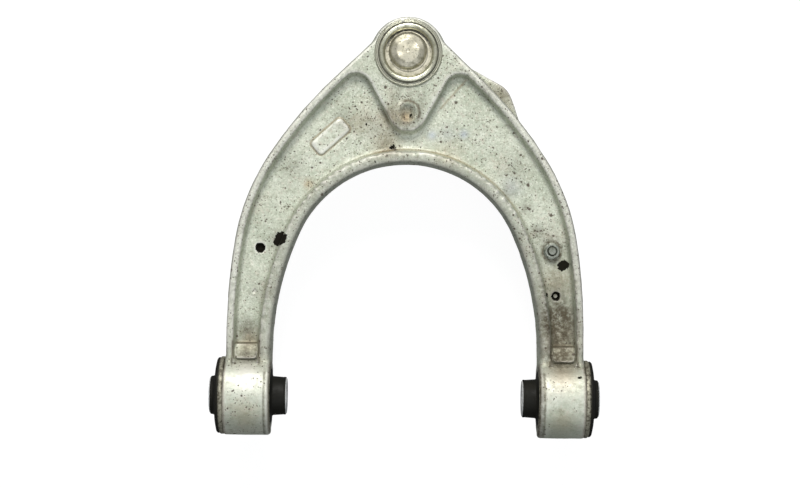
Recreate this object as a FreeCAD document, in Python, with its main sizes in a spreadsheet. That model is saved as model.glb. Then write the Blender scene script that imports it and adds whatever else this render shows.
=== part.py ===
"""Upper control arm of a double-wishbone front suspension, in millimetres.

The frame: the origin is midway between the two pivot bushes, on the pivot axis. X runs along
the pivot axis, Y points along the arm to the ball joint, and Z points up through the closed
end of the ball joint, so the stud points down, along -Z.
"""
import FreeCAD, Part
import math
import os
import re

import Sketcher

SHEET = "Dimensions"

DIMENSIONS = {
    # forged arm: plan shape at the parting line
    "joint_y": 257.0,         # pivot axis to ball centre
    "side_x": 133.9,          # half width over the straight part of the legs
    "side_y": 41.8,           # where the sides start to curve inwards
    "outer_radius_a": 480.8, "outer_angle_a": 8.94,
    "outer_radius_b": 163.3, "outer_angle_b": 32.69,
    "outer_radius_c": 325.9, "outer_angle_c": 46.27,
    "inner_x": 99.2, "inner_radius": 220.0,
    "crown_y": 87.2, "crown_radius": 87.3,
    "boss_radius": 28.0, "boss_blend": 16.0,
    # forged arm: section
    "half_height": 14.0, "web_half": 4.0, "draft_angle": 5.0,
    "outer_rib": 6.2, "inner_rib": 9.5, "floor_blend": 3.0, "edge_round": 1.4,
    "ledge_top": 8.0, "ledge_y": 39.5, "ledge_side": 4.0, "leg_foot": 12.0,
    # the V-shaped pad below the ball joint, its round boss and the blank raised plate
    "tip_y": 212.6, "tip_radius": 14.0, "pad_angle": 28.5, "pad_corner": 11.5,
    "button_radius": 8.3, "button_height": 0.8, "dimple_radius": 6.5, "dimple_depth": 3.4,
    "plate_x": -57.6, "plate_y": 194.65, "plate_turn": 42.0,
    "plate_length": 30.0, "plate_width": 12.5, "plate_corner": 3.0, "plate_height": 1.0,
    # the lug on the right shoulder
    "lug_x": 67.6, "lug_y": 223.0, "lug_turn": -45.6, "lug_shift": -2.3, "lug_reach": 10.9,
    "lug_radius": 19.0, "lug_rise": 17.4, "lug_fall": 25.0, "lug_root": 6.0, "lug_top": -5.0,
    # eyes for the bushes
    "eye_x": 117.15, "eye_half": 17.25, "eye_radius": 29.5, "eye_round": 1.0,
    "eye_bore": 22.0, "eye_mouth": 1.5, "face_margin": 0.8, "cut_past": 1.0,
    # web holes and the sensor bracket
    "bolt_x": 109.0, "bolt_y": 110.8, "bolt_hole": 3.3,
    "nib_x": 112.5, "nib_y": 77.2, "nib_hole": 3.0,
    "bolt_radius": 3.0, "bolt_end": 11.6, "bolt_chamfer": 0.7, "hex_flats": 10.0,
    "nut_height": 6.0, "nut_face": 6.2, "nut_face_height": 0.8,
    "head_height": 5.0, "head_face": 7.0, "head_face_height": 1.2,
    "bracket_thick": 2.0, "bracket_half": 8.5, "bracket_left": 3.2, "bracket_right": 6.5,
    "bracket_foot": 6.0, "bracket_drop": 20.0, "tab_round": 3.0,
    "link_hole": 3.2, "link_edge": 6.0, "nib_radius": 1.4, "nib_rise": 3.0,
    # ball joint
    "ball_z": -1.0, "ball_radius": 15.0, "ball_flat": 5.0, "running_gap": 0.05,
    "neck_radius": 7.5, "seat_radius": 8.2, "seat_top": -23.0, "taper_top": -31.0,
    "taper_radius": 8.0, "taper_length": 20.0, "taper_small": 7.0, "seat_slope": 1.2,
    "thread_radius": 6.0, "thread_length": 16.0, "thread_chamfer": 0.8,
    "thread_relief": 5.1, "relief_length": 1.4, "relief_slope": 0.6,
    "hex_socket": 5.0, "hex_socket_depth": 5.0,
    "spot_z": -9.0, "spot_radius": 27.5,
    "shell_radius": 18.25, "shell_top": 9.95,
    "can_radius": 22.5, "can_bore": 18.3, "can_floor": -9.0, "can_flange": 24.5,
    "can_flange_height": 2.5, "can_foot": -17.0, "groove_radius": 18.6, "foot_radius": 19.6,
    "foot_height": 1.4, "foot_slope": 0.5, "mouth_radius": 13.1, "mouth_flare": 17.2,
    "rim_top": 19.0, "rim_radius": 22.7, "rim_round": 1.2, "rim_bore": 17.6,
    "rim_undercut": 0.5, "cap_seat": 20.3, "cap_z": 13.8,
    "ring_groove": 21.7, "ring_z": 14.1, "ring_height": 2.2, "ring_bore": 21.8,
    "ring_radius": 25.3, "ring_round": 0.7, "ring_gap": 6.0, "ring_turn": 101.0,
    "cap_thick": 1.6, "cap_radius": 20.2, "dome_foot": 14.4, "foot_blend": 1.0,
    "dome_shoulder": 12.6, "dome_side_z": 18.2, "dome_flat": 7.2, "dome_top": 20.7,
    "dome_dimple": 1.3, "dome_dimple_depth": 0.6,
    "spring_bore": 15.4, "spring_radius": 18.1, "spring_thick": 1.0, "spring_low": 10.05,
    # dust boot and its clamp rings
    "boot_wall": 1.5, "collar_wall": 2.2, "lip_gap": 0.15, "boot_top": -11.6,
    "collar_z": -15.2, "bulge_z": -17.15, "boot_bulge": 22.0, "bulge_land": 0.6,
    "waist_z": -20.35, "boot_waist": 18.6, "second_z": -22.7, "boot_second": 19.4,
    "boot_hem": -24.4, "boot_skirt": 16.4, "skirt_slope": 0.6, "boot_foot": -29.4,
    "clamp_wire": 0.75, "upper_ring_z": -13.4, "lower_ring_z": -28.0,
    # pivot bushes, measured along the pivot axis from the middle of the eye
    "sleeve_radius": 22.0, "sleeve_bore": 20.2, "sleeve_chamfer": 0.6,
    "flange_radius": 29.0, "flange_thick": 3.4, "flange_round": 1.6,
    "cover_radius": 28.4, "cover_thick": 3.6, "cover_round": 2.2, "bulge_reach": 0.7,
    "skin_radius": 14.4, "skin_blend": 1.5, "skin_inboard": 28.65, "skin_outboard": 27.65,
    "core_radius": 13.6, "core_bore": 6.1, "core_inboard": 29.25, "core_outboard": 28.45,
    "core_chamfer": 0.8,
}

doc = FreeCAD.newDocument("control_arm")
sheet = doc.addObject("Spreadsheet::Sheet", SHEET)
for row, (alias, size) in enumerate(DIMENSIONS.items(), start=1):
    sheet.set("A%d" % row, alias)
    sheet.set("B%d" % row, repr(size))
    sheet.setAlias("B%d" % row, alias)
doc.recompute()

FUNCTIONS = ("sin", "cos", "tan", "asin", "acos", "sqrt")
TOLERANCE = 1e-3


# ---------------------------------------------------------------- expressions

def bound(formula):
    """The formula with every dimension's name pointed at the sheet."""
    def point_at_sheet(match):
        word = match.group()
        return word if word in FUNCTIONS else SHEET + "." + word
    return re.sub(r"[a-z][a-z_]*", point_at_sheet, formula)


def value(formula):
    """The number that a formula of dimensions gives now."""
    return float(sheet.evalExpression(bound(formula)))


def bind(feature, prop, formula):
    feature.setExpression(prop, bound(formula))


# ---------------------------------------------------------------- bodies and sketches

def add_body(label, x="0", y="0", z="0", turn="0"):
    """An empty body at a place, turned about the vertical."""
    body = doc.addObject("PartDesign::Body", label)
    body.Label = label
    body.Placement = FreeCAD.Placement(FreeCAD.Vector(value(x), value(y), value(z)),
                                       FreeCAD.Rotation(FreeCAD.Vector(0, 0, 1), value(turn)))
    for axis, formula in zip("xyz", (x, y, z)):
        if formula != "0":
            bind(body, "Placement.Base." + axis, formula)
    return body


def add_sketch(body, name, role, place=("0", "0", "0"), turn="0"):
    """A sketch on one of the body's own planes; place and turn are in the sketch's axes."""
    sketch = body.newObject("Sketcher::SketchObject", name)
    plane = [item for item in body.Origin.OriginFeatures if item.Role == role][0]
    sketch.AttachmentSupport = [(plane, "")]
    sketch.MapMode = "FlatFace"
    sketch.AttachmentOffset = FreeCAD.Placement(
        FreeCAD.Vector(*[value(formula) for formula in place]),
        FreeCAD.Rotation(FreeCAD.Vector(0, 0, 1), value(turn)))
    for axis, formula in zip("xyz", place):
        if formula != "0":
            bind(sketch, "AttachmentOffset.Base." + axis, formula)
    return sketch


def arc_between(start, end, radius, turn):
    """The shorter arc from start to end; turn is +1 where it runs anticlockwise."""
    a, b = FreeCAD.Vector(*start, 0), FreeCAD.Vector(*end, 0)
    chord = b - a
    across = FreeCAD.Vector(-chord.y, chord.x, 0).normalize()
    rise = math.sqrt(max(radius ** 2 - chord.Length ** 2 / 4, 0))
    centre = (a + b) / 2 + across * rise * turn
    first, last = (a, b) if turn > 0 else (b, a)
    circle = Part.Circle(centre, FreeCAD.Vector(0, 0, 1), radius)
    angles = [math.atan2(p.y - centre.y, p.x - centre.x) for p in (first, last)]
    return Part.ArcOfCircle(circle, *angles)


def draw(sketch, corners):
    """A closed outline. A corner is (x, y), or (x, y, radius, turn) where an arc leaves it."""
    places = [(value(corner[0]), value(corner[1])) for corner in corners]
    ends = []
    for index, corner in enumerate(corners):
        start, end = places[index], places[(index + 1) % len(corners)]
        if len(corner) == 4:
            edge = sketch.addGeometry(arc_between(start, end, value(corner[2]), corner[3]), False)
            limit = sketch.addConstraint(Sketcher.Constraint("Radius", edge, value(corner[2])))
            bind(sketch, "Constraints[%d]" % limit, corner[2])
            ends.append((edge, 1, 2) if corner[3] > 0 else (edge, 2, 1))
        else:
            line = Part.LineSegment(FreeCAD.Vector(*start, 0), FreeCAD.Vector(*end, 0))
            ends.append((sketch.addGeometry(line, False), 1, 2))
    for index, (edge, first, _) in enumerate(ends):
        before, _, last = ends[index - 1]
        sketch.addConstraint(Sketcher.Constraint("Coincident", before, last, edge, first))
        for kind, size, formula in zip(("DistanceX", "DistanceY"), places[index], corners[index]):
            limit = sketch.addConstraint(Sketcher.Constraint(kind, -1, 1, edge, first, size))
            bind(sketch, "Constraints[%d]" % limit, formula)


def draw_circle(sketch, x, y, radius):
    centre = FreeCAD.Vector(value(x), value(y), 0)
    circle = Part.Circle(centre, FreeCAD.Vector(0, 0, 1), value(radius))
    edge = sketch.addGeometry(circle, False)
    limit = sketch.addConstraint(Sketcher.Constraint("Radius", edge, value(radius)))
    bind(sketch, "Constraints[%d]" % limit, radius)
    for kind, size, formula in (("DistanceX", centre.x, x), ("DistanceY", centre.y, y)):
        limit = sketch.addConstraint(Sketcher.Constraint(kind, -1, 1, edge, 3, size))
        bind(sketch, "Constraints[%d]" % limit, formula)


def draw_hexagon(sketch, x, y, flats):
    """A hexagon with two corners on the X axis, by its width across flats."""
    corners = []
    for step in range(6):
        reach = "(%s)/sqrt(3)" % flats
        corners.append(("%s + %s*cos(%d)" % (x, reach, 60 * step),
                        "%s + %s*sin(%d)" % (y, reach, 60 * step)))
    draw(sketch, corners)


def mirror(half):
    """The other half of an outline that crosses the Y axis, in travelling order."""
    other = []
    for index in range(len(half) - 1, -1, -1):
        x, y = half[index][:2]
        bow = half[index - 1][2:] if index else ()
        other.append(("-(%s)" % x, y) + tuple(bow))
    return other


# ---------------------------------------------------------------- features

BOUND_SIZES = ("Length", "Length2", "Angle", "TaperAngle", "TaperAngle2")


def add_feature(body, kind, sketch, name, **sizes):
    """A PartDesign feature of a sketch; text sizes are formulas, others are set as they are."""
    feature = body.newObject("PartDesign::" + kind, name)
    feature.Profile = sketch
    for prop, size in sizes.items():
        if isinstance(size, str) and prop in BOUND_SIZES:
            bind(feature, prop, size)
        else:
            setattr(feature, prop, size)
    doc.recompute()
    return feature


def check_cut(body, feature, before):
    """Stops if a cutting feature took nothing away."""
    if not body.Shape.Volume < before - TOLERANCE:
        raise RuntimeError(feature.Label + " cuts nothing")


def cut(body, kind, sketch, name, **sizes):
    before = body.Shape.Volume
    feature = add_feature(body, kind, sketch, name, **sizes)
    check_cut(body, feature, before)
    return feature


def turned(label, corners, role="XZ_Plane", axis="V_Axis", angle="360", **place):
    """A body of revolution from an outline in radius and height."""
    body = add_body(label, **place)
    sketch = add_sketch(body, label + "_outline", role)
    draw(sketch, corners)
    add_feature(body, "Revolution", sketch, label + "_turned", Angle=angle,
                ReferenceAxis=(sketch, [axis]))
    return body


def lies_at(edge, height):
    """True where the whole edge is at a height, above or below the parting line."""
    box = edge.BoundBox
    return all(abs(abs(z) - height) < TOLERANCE for z in (box.ZMin, box.ZMax))


def round_edges(body, name, wanted, radius):
    """Rounds the edges that wanted(edge) picks; radius is a formula."""
    base = body.Tip
    names = ["Edge%d" % (index + 1) for index, edge in enumerate(base.Shape.Edges)
             if wanted(edge)]
    fillet = body.newObject("PartDesign::Fillet", name)
    fillet.Base = (base, names)
    bind(fillet, "Radius", radius)
    doc.recompute()
    return fillet


# ---------------------------------------------------------------- forged arm

def outer_side(inset, foot):
    """The right outer edge, from its foot up to where the straight shoulder starts."""
    centre_x, centre_y = "side_x - outer_radius_a", "side_y"
    corners = [("side_x - %s" % inset, foot)]
    angle = "0"
    radii = ("outer_radius_a", "outer_radius_b", "outer_radius_c")
    angles = ("outer_angle_a", "outer_angle_b", "outer_angle_c")
    for index, radius in enumerate(radii):
        if index:
            step = "(%s - %s)" % (radii[index - 1], radius)
            centre_x = "%s + %s*cos(%s)" % (centre_x, step, angle)
            centre_y = "%s + %s*sin(%s)" % (centre_y, step, angle)
        reach = "(%s - %s)" % (radius, inset)
        corners.append(("%s + %s*cos(%s)" % (centre_x, reach, angle),
                        "%s + %s*sin(%s)" % (centre_y, reach, angle), reach, 1))
        angle = angles[index]
    corners.append(("%s + %s*cos(%s)" % (centre_x, reach, angle),
                    "%s + %s*sin(%s)" % (centre_y, reach, angle)))
    return corners


def inner_side(grow, foot):
    """The inner edge from the left foot over the crown, as far as the right foot."""
    lean = "acos((inner_radius - inner_x)/(inner_radius - crown_radius))"
    crown_x = "(crown_radius + %s)*cos(%s)" % (grow, lean)
    crown_y = "crown_y + (crown_radius + %s)*sin(%s)" % (grow, lean)
    bend_y = "crown_y - (inner_radius - crown_radius)*sin(%s)" % lean
    leg_x = "inner_x + %s" % grow
    return [("-(%s)" % leg_x, foot),
            ("-(%s)" % leg_x, bend_y, "inner_radius + %s" % grow, -1),
            ("-(%s)" % crown_x, crown_y, "crown_radius + %s" % grow, -1),
            (crown_x, crown_y, "inner_radius + %s" % grow, -1),
            (leg_x, bend_y), (leg_x, foot)]


def blank_outline(inset):
    """The U, inset from the parting line, closed through the ball joint's boss."""
    half = outer_side(inset, "leg_foot")
    x, y = half[-1][:2]
    gap = "((%s)*cos(outer_angle_c) + (%s - joint_y)*sin(outer_angle_c))" % (x, y)
    half.append(("%s*cos(outer_angle_c)" % gap, "joint_y + %s*sin(outer_angle_c)" % gap))
    return half + mirror(half) + inner_side(inset, "leg_foot")


def pocket_outline(inset):
    """The hollow between the ribs, which also runs under the tip of the V-shaped pad."""
    half = outer_side("(outer_rib + %s)" % inset, "leg_foot")
    x, y = half[-1][:2]
    corner, tip = "(pad_corner - %s)" % inset, "(tip_radius + %s)" % inset
    shoulder = "((%s)*cos(outer_angle_c) + (%s)*sin(outer_angle_c) - %s)" % (x, y, corner)
    edge = "(%s - tip_y*sin(pad_angle) + %s)" % (tip, corner)
    spread = "sin(outer_angle_c + pad_angle)"
    round_x = "((%s*sin(pad_angle) + %s*sin(outer_angle_c))/%s)" % (shoulder, edge, spread)
    round_y = "((%s*cos(pad_angle) - %s*cos(outer_angle_c))/%s)" % (shoulder, edge, spread)
    half.append(("%s + %s*cos(outer_angle_c)" % (round_x, corner),
                 "%s + %s*sin(outer_angle_c)" % (round_y, corner), corner, 1))
    half.append(("%s - %s*cos(pad_angle)" % (round_x, corner),
                 "%s + %s*sin(pad_angle)" % (round_y, corner)))
    half.append(("%s*cos(pad_angle)" % tip, "tip_y - %s*sin(pad_angle)" % tip, tip, -1))
    return half + mirror(half) + inner_side("(inner_rib + %s)" % inset, "leg_foot")


def add_loft(arm, kind, name, sections):
    """Straight walls between outlines at two heights; sections are (outline, height)."""
    sketches = []
    for index, (outline, height) in enumerate(sections):
        sketch = add_sketch(arm, "%s_outline_%d" % (name, index), "XY_Plane", ("0", "0", height))
        draw(sketch, outline)
        sketches.append(sketch)
    doc.recompute()
    return add_feature(arm, kind, sketches[0], name, Sections=sketches[1:], Ruled=True)


def add_blank(arm):
    """The U with its draft, above and below the parting line, and the ball joint's boss."""
    top = "(half_height*tan(draft_angle))"
    for name, height in (("upper", "half_height"), ("lower", "-half_height")):
        add_loft(arm, "AdditiveLoft", name + "_blank",
                 ((blank_outline("0"), "0"), (blank_outline(top), height)))
    boss = add_sketch(arm, "boss_outline", "XY_Plane")
    draw_circle(boss, "0", "joint_y", "boss_radius")
    add_feature(arm, "Pad", boss, "boss", SideType="Two sides", Length="half_height",
                Length2="half_height", TaperAngle="-draft_angle", TaperAngle2="-draft_angle")
    base_y, height = value("joint_y"), value("half_height")

    def joins_boss(edge):
        return edge.BoundBox.ZLength > height - TOLERANCE and edge.CenterOfMass.y > base_y
    round_edges(arm, "boss_blends", joins_boss, "boss_blend")


def add_pockets(arm):
    floor = "((half_height - web_half)*tan(draft_angle))"
    for name, sign in (("upper", ""), ("lower", "-")):
        before = arm.Shape.Volume
        pocket = add_loft(arm, "SubtractiveLoft", name + "_pocket",
                          ((pocket_outline("0"), sign + "half_height"),
                           (pocket_outline(floor), sign + "web_half")))
        check_cut(arm, pocket, before)


def add_ledges(arm):
    """The thicker step of the web just above each eye."""
    sketch = add_sketch(arm, "ledge_outline", "XY_Plane")
    middle = "(side_x - outer_rib + inner_x + inner_rib)/2"
    half = "((side_x - inner_x)/2 - ledge_side)"
    for sign in ("", "-"):
        left = "%s(%s) - %s" % (sign, middle, half)
        right = "%s(%s) + %s" % (sign, middle, half)
        draw(sketch, [(left, "leg_foot"), (right, "leg_foot"),
                      (right, "ledge_y"), (left, "ledge_y")])
    add_feature(arm, "Pad", sketch, "ledges", SideType="Symmetric", Length="2*ledge_top")


def add_eyes(arm):
    """The two barrels across the leg ends, bored, with the outboard faces machined flat."""
    sketch = add_sketch(arm, "eye_outline", "XY_Plane")
    bores = add_sketch(arm, "eye_bore_outline", "XY_Plane")
    for sign in ("", "-"):
        inboard = "%s(eye_x - eye_half)" % sign
        outboard = "%s(eye_x + eye_half)" % sign
        curl = -1 if sign else 1
        inner = "%s(eye_x - eye_half + eye_round)" % sign
        outer = "%s(eye_x + eye_half - eye_round)" % sign
        draw(sketch, [(inboard, "0"), (outboard, "0"),
                      (outboard, "eye_radius - eye_round", "eye_round", curl),
                      (outer, "eye_radius"),
                      (inner, "eye_radius", "eye_round", curl),
                      (inboard, "eye_radius - eye_round")])
        past = "%s(eye_x + eye_half + 3*cut_past)" % sign
        before = "%s(eye_x - eye_half - cut_past)" % sign
        mouth = "%s(eye_x - eye_half + eye_mouth)" % sign
        draw(bores, [(before, "0"), (past, "0"), (past, "flange_radius + face_margin"),
                     (outboard, "flange_radius + face_margin"), (outboard, "eye_bore"),
                     (mouth, "eye_bore"), (before, "eye_bore + eye_mouth + cut_past")])
    add_feature(arm, "Revolution", sketch, "eyes", Angle="360", ReferenceAxis=(sketch, ["H_Axis"]))
    cut(arm, "Groove", bores, "eye_bores", Angle="360", ReferenceAxis=(bores, ["H_Axis"]))


def add_pad_button(arm):
    """The low round boss at the tip of the V-shaped pad, with its hollow."""
    sketch = add_sketch(arm, "button_outline", "XY_Plane", ("0", "0", "half_height"))
    draw_circle(sketch, "0", "tip_y", "button_radius")
    add_feature(arm, "Pad", sketch, "button", Length="button_height")
    hollow = add_sketch(arm, "dimple_outline", "XZ_Plane", ("0", "0", "-tip_y"))
    top = "half_height + button_height"
    curve = "(dimple_radius^2 + dimple_depth^2)/(2*dimple_depth)"
    draw(hollow, [("0", "%s - dimple_depth" % top, curve, 1),
                  ("dimple_radius", top), ("dimple_radius", top + " + cut_past"),
                  ("0", top + " + cut_past")])
    cut(arm, "Groove", hollow, "dimple", Angle="360", ReferenceAxis=(hollow, ["V_Axis"]))


def add_plate(arm):
    """The blank raised plate on the left web."""
    sketch = add_sketch(arm, "plate_outline", "XY_Plane", ("plate_x", "plate_y", "web_half"),
                        "plate_turn")
    corners = []
    for sx, sy in (("", "-"), ("", ""), ("-", ""), ("-", "-")):
        ends = [("%splate_length/2" % sx, "%s(plate_width/2 - plate_corner)" % sy),
                ("%s(plate_length/2 - plate_corner)" % sx, "%splate_width/2" % sy)]
        if sx != sy:
            ends.reverse()
        corners += [ends[0] + ("plate_corner", 1), ends[1]]
    draw(sketch, corners)
    add_feature(arm, "Pad", sketch, "plate", Length="plate_height")


def add_lug(arm):
    """The low lug that stands out of the right shoulder, below the parting line."""
    sketch = add_sketch(arm, "lug_outline", "XY_Plane", ("lug_x", "lug_y", "-half_height"),
                        "lug_turn")
    centre = "(lug_reach - lug_radius)"
    left_x, left_y = "(lug_shift - lug_radius*sin(lug_rise))", centre + " + lug_radius*cos(lug_rise)"
    right_x, right_y = "(lug_shift + lug_radius*sin(lug_fall))", centre + " + lug_radius*cos(lug_fall)"
    draw(sketch, [(left_x + " - (%s)/tan(lug_rise)" % left_y, "-lug_root"),
                  (right_x + " + (%s)/tan(lug_fall)" % right_y, "-lug_root"),
                  (right_x + " + (%s)/tan(lug_fall)" % right_y, "0"),
                  (right_x, right_y, "lug_radius", 1), (left_x, left_y),
                  (left_x + " - (%s)/tan(lug_rise)" % left_y, "0")])
    add_feature(arm, "Pad", sketch, "lug", Length="half_height + lug_top")


def add_holes(arm):
    """The cartridge bore, its spot face below, and the small holes through the webs."""
    spot = add_sketch(arm, "spot_outline", "XY_Plane", ("0", "0", "spot_z"))
    draw_circle(spot, "0", "joint_y", "spot_radius")
    cut(arm, "Pocket", spot, "spot_face", Length="half_height")
    bore = add_sketch(arm, "can_bore_outline", "XY_Plane")
    draw_circle(bore, "0", "joint_y", "can_radius")
    cut(arm, "Pocket", bore, "can_bore_cut", SideType="Symmetric", Length="4*half_height")
    holes = add_sketch(arm, "web_hole_outline", "XY_Plane")
    draw_circle(holes, "bolt_x", "bolt_y", "bolt_hole")
    draw_circle(holes, "-bolt_x", "bolt_y", "bolt_hole")
    draw_circle(holes, "nib_x", "nib_y", "nib_hole")
    cut(arm, "Pocket", holes, "web_holes", SideType="Symmetric", Length="2*half_height")


def make_arm_forging():
    arm = add_body("arm_forging")
    add_blank(arm)
    add_pockets(arm)
    floor, top, foot = value("web_half"), value("half_height"), value("leg_foot")

    def bounds_floor(edge):
        return lies_at(edge, floor) and edge.BoundBox.YMax > foot + TOLERANCE
    round_edges(arm, "floor_blends", bounds_floor, "floor_blend")
    round_edges(arm, "rim_rounds", lambda edge: lies_at(edge, top), "edge_round")
    add_ledges(arm)
    add_eyes(arm)
    add_pad_button(arm)
    add_plate(arm)
    add_lug(arm)
    add_holes(arm)


# ---------------------------------------------------------------- ball joint

def make_ball_stud():
    """Ball, neck, boot seat, taper and thread, with a hexagon socket in the end."""
    flat_z = "ball_z + sqrt(ball_radius^2 - ball_flat^2)"
    neck_z = "ball_z - sqrt(ball_radius^2 - neck_radius^2)"
    taper_end = "(taper_top - taper_length)"
    tip = "(taper_top - taper_length - thread_length)"
    stud = turned("ball_stud", [
        ("0", flat_z), ("0", tip), ("thread_radius - thread_chamfer", tip),
        ("thread_radius", tip + " + thread_chamfer"),
        ("thread_radius", taper_end + " - relief_length - relief_slope"),
        ("thread_relief", taper_end + " - relief_length"), ("thread_relief", taper_end),
        ("taper_small", taper_end), ("taper_radius", "taper_top"),
        ("seat_radius", "taper_top"), ("seat_radius", "seat_top"),
        ("neck_radius", "seat_top + seat_slope"),
        ("neck_radius", neck_z, "ball_radius", 1), ("ball_flat", flat_z)], y="joint_y")
    socket = add_sketch(stud, "socket_outline", "XY_Plane", ("0", "0", tip))
    draw_hexagon(socket, "0", "0", "hex_socket")
    cut(stud, "Pocket", socket, "socket", Length="hex_socket_depth", Reversed=True)


def make_bearing_shell():
    """The plastic shell that the ball turns in."""
    hollow = "(ball_radius + running_gap)"
    top, foot = "shell_top", "can_floor + running_gap"
    turned("bearing_shell", [
        ("shell_radius", foot), ("shell_radius", top),
        ("sqrt(%s^2 - (%s - ball_z)^2)" % (hollow, top), top, hollow, -1),
        ("sqrt(%s^2 - (%s - ball_z)^2)" % (hollow, foot), foot)], y="joint_y")


def make_housing():
    """The steel cartridge that is pressed into the boss, with the rim rolled over the cap."""
    foot, flange = "(can_foot + foot_height)", "(can_floor - can_flange_height)"
    over_ring, over_cap = "(ring_z + ring_height + running_gap)", "(cap_z + cap_thick + running_gap)"
    turned("ball_joint_housing", [
        ("mouth_radius", "can_floor"), ("mouth_flare", "can_foot"),
        ("foot_radius", "can_foot"), ("foot_radius", foot),
        ("groove_radius", foot + " + foot_slope"), ("groove_radius", flange),
        ("can_flange", flange), ("can_flange", "can_floor"),
        ("can_radius", "can_floor"), ("can_radius", "half_height"),
        ("ring_groove", "half_height"), ("ring_groove", over_ring), ("rim_radius", over_ring),
        ("rim_radius", "rim_top - rim_round", "rim_round", 1), ("rim_radius - rim_round", "rim_top"),
        ("rim_bore + rim_round", "rim_top", "rim_round", 1), ("rim_bore", "rim_top - rim_round"),
        ("rim_bore", over_cap + " + rim_undercut"), ("cap_seat", over_cap),
        ("cap_seat", "cap_z"), ("can_bore", "cap_z"), ("can_bore", "can_floor")], y="joint_y")


def make_snap_ring():
    """The split ring that holds the cartridge in the boss."""
    low, high = "ring_z", "ring_z + ring_height"
    turned("housing_snap_ring", [
        ("ring_bore", low), ("ring_radius - ring_round", low, "ring_round", 1),
        ("ring_radius", low + " + ring_round"),
        ("ring_radius", high + " - ring_round", "ring_round", 1),
        ("ring_radius - ring_round", high), ("ring_bore", high)],
        angle="360 - ring_gap", y="joint_y", turn="ring_turn")


def make_cap():
    """The pressed cap that closes the cartridge, with its low dome."""
    low, high = "cap_z", "cap_z + cap_thick"
    turned("ball_joint_cap", [
        ("0", "dome_top - dome_dimple_depth"),
        ("0", "dome_top - cap_thick"), ("dome_flat", "dome_top - cap_thick"),
        ("dome_shoulder - cap_thick/2", "dome_side_z - cap_thick"),
        ("dome_foot - cap_thick", low), ("cap_radius", low), ("cap_radius", high),
        ("dome_foot + foot_blend", high, "foot_blend", -1), ("dome_foot", high + " + foot_blend"),
        ("dome_shoulder", "dome_side_z"), ("dome_flat", "dome_top"),
        ("dome_dimple", "dome_top")], y="joint_y")


def make_preload_spring():
    """The coned spring between the bearing shell and the cap."""
    rise = "cap_z - running_gap - spring_thick"
    turned("preload_spring", [
        ("spring_bore", "spring_low"), ("spring_radius", rise),
        ("spring_radius", rise + " + spring_thick"),
        ("spring_bore", "spring_low + spring_thick")], y="joint_y")


# ---------------------------------------------------------------- dust boot

def make_boot():
    """The rubber bellows from the groove of the cartridge to the seat on the stud."""
    foot = "(can_foot + foot_height)"
    collar, lip = "(groove_radius + running_gap)", "(foot_radius + lip_gap)"
    seat = "(seat_radius + running_gap)"
    turned("dust_boot", [
        (collar, "boot_top"), (collar, foot + " + foot_slope + running_gap"),
        (lip, foot), (lip, "can_foot - lip_gap"), ("boot_bulge - boot_wall", "bulge_z - bulge_land"),
        ("boot_waist - boot_wall", "waist_z"), ("boot_second - boot_wall", "second_z"),
        ("seat_radius + collar_wall", "boot_hem"), (seat, "boot_hem"),
        (seat, "boot_foot"), ("seat_radius + collar_wall", "boot_foot"),
        ("seat_radius + collar_wall", "boot_hem - boot_wall - skirt_slope"),
        ("boot_skirt", "boot_hem - boot_wall"), ("boot_second", "second_z"),
        ("boot_waist", "waist_z"), ("boot_bulge", "bulge_z - bulge_land"),
        ("boot_bulge", "bulge_z + bulge_land"), ("groove_radius + collar_wall", "collar_z"),
        ("groove_radius + collar_wall", "boot_top")], y="joint_y")


def make_boot_ring(label, radius, height):
    """A round wire ring that clamps an end of the boot onto this radius."""
    reach = "(%s + collar_wall + running_gap + clamp_wire)" % radius
    turned(label, [
        ("%s + clamp_wire" % reach, height, "clamp_wire", 1),
        (reach, height + " + clamp_wire", "clamp_wire", 1),
        ("%s - clamp_wire" % reach, height, "clamp_wire", 1),
        (reach, height + " - clamp_wire", "clamp_wire", 1)], y="joint_y")


# ---------------------------------------------------------------- pivot bushes

def make_bush(side, eye, turn):
    """Outer sleeve, rubber and inner sleeve; outboard is the body's own +X."""
    place = dict(role="XY_Plane", axis="H_Axis", x=eye, turn=turn)
    half, flange = "eye_half", "(eye_half + flange_thick)"
    turned(side + "_bush_outer_sleeve", [
        ("-%s" % half, "sleeve_bore"), ("-%s" % half, "sleeve_radius - sleeve_chamfer"),
        ("-%s + sleeve_chamfer" % half, "sleeve_radius"), (half, "sleeve_radius"),
        (half, "flange_radius"),
        ("%s - flange_round" % flange, "flange_radius", "flange_round", -1),
        (flange, "flange_radius - flange_round"), (flange, "sleeve_bore")], **place)
    cover, bulge = "(eye_half + flange_thick + cover_thick)", "(eye_half + bulge_reach)"
    turned(side + "_bush_rubber", [
        ("-skin_inboard", "core_radius"), ("-skin_inboard", "skin_radius"),
        ("-%s - skin_blend" % bulge, "skin_radius", "skin_blend", 1),
        ("-%s" % bulge, "skin_radius + skin_blend"),
        ("-%s" % bulge, "sleeve_bore - bulge_reach", "bulge_reach", -1),
        ("-%s + bulge_reach" % bulge, "sleeve_bore"),
        (flange, "sleeve_bore"), (flange, "cover_radius"),
        ("%s - cover_round" % cover, "cover_radius", "cover_round", -1),
        (cover, "cover_radius - cover_round"),
        (cover, "skin_radius + skin_blend", "skin_blend", 1),
        (cover + " + skin_blend", "skin_radius"), ("skin_outboard", "skin_radius"),
        ("skin_outboard", "core_radius")], **place)
    turned(side + "_bush_inner_sleeve", [
        ("-core_inboard", "core_bore + core_chamfer"),
        ("-core_inboard", "core_radius - core_chamfer"),
        ("-core_inboard + core_chamfer", "core_radius"),
        ("core_outboard - core_chamfer", "core_radius"),
        ("core_outboard", "core_radius - core_chamfer"),
        ("core_outboard", "core_bore + core_chamfer"),
        ("core_outboard - core_chamfer", "core_bore"),
        ("-core_inboard + core_chamfer", "core_bore")], **place)


# ---------------------------------------------------------------- sensor bracket

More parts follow.
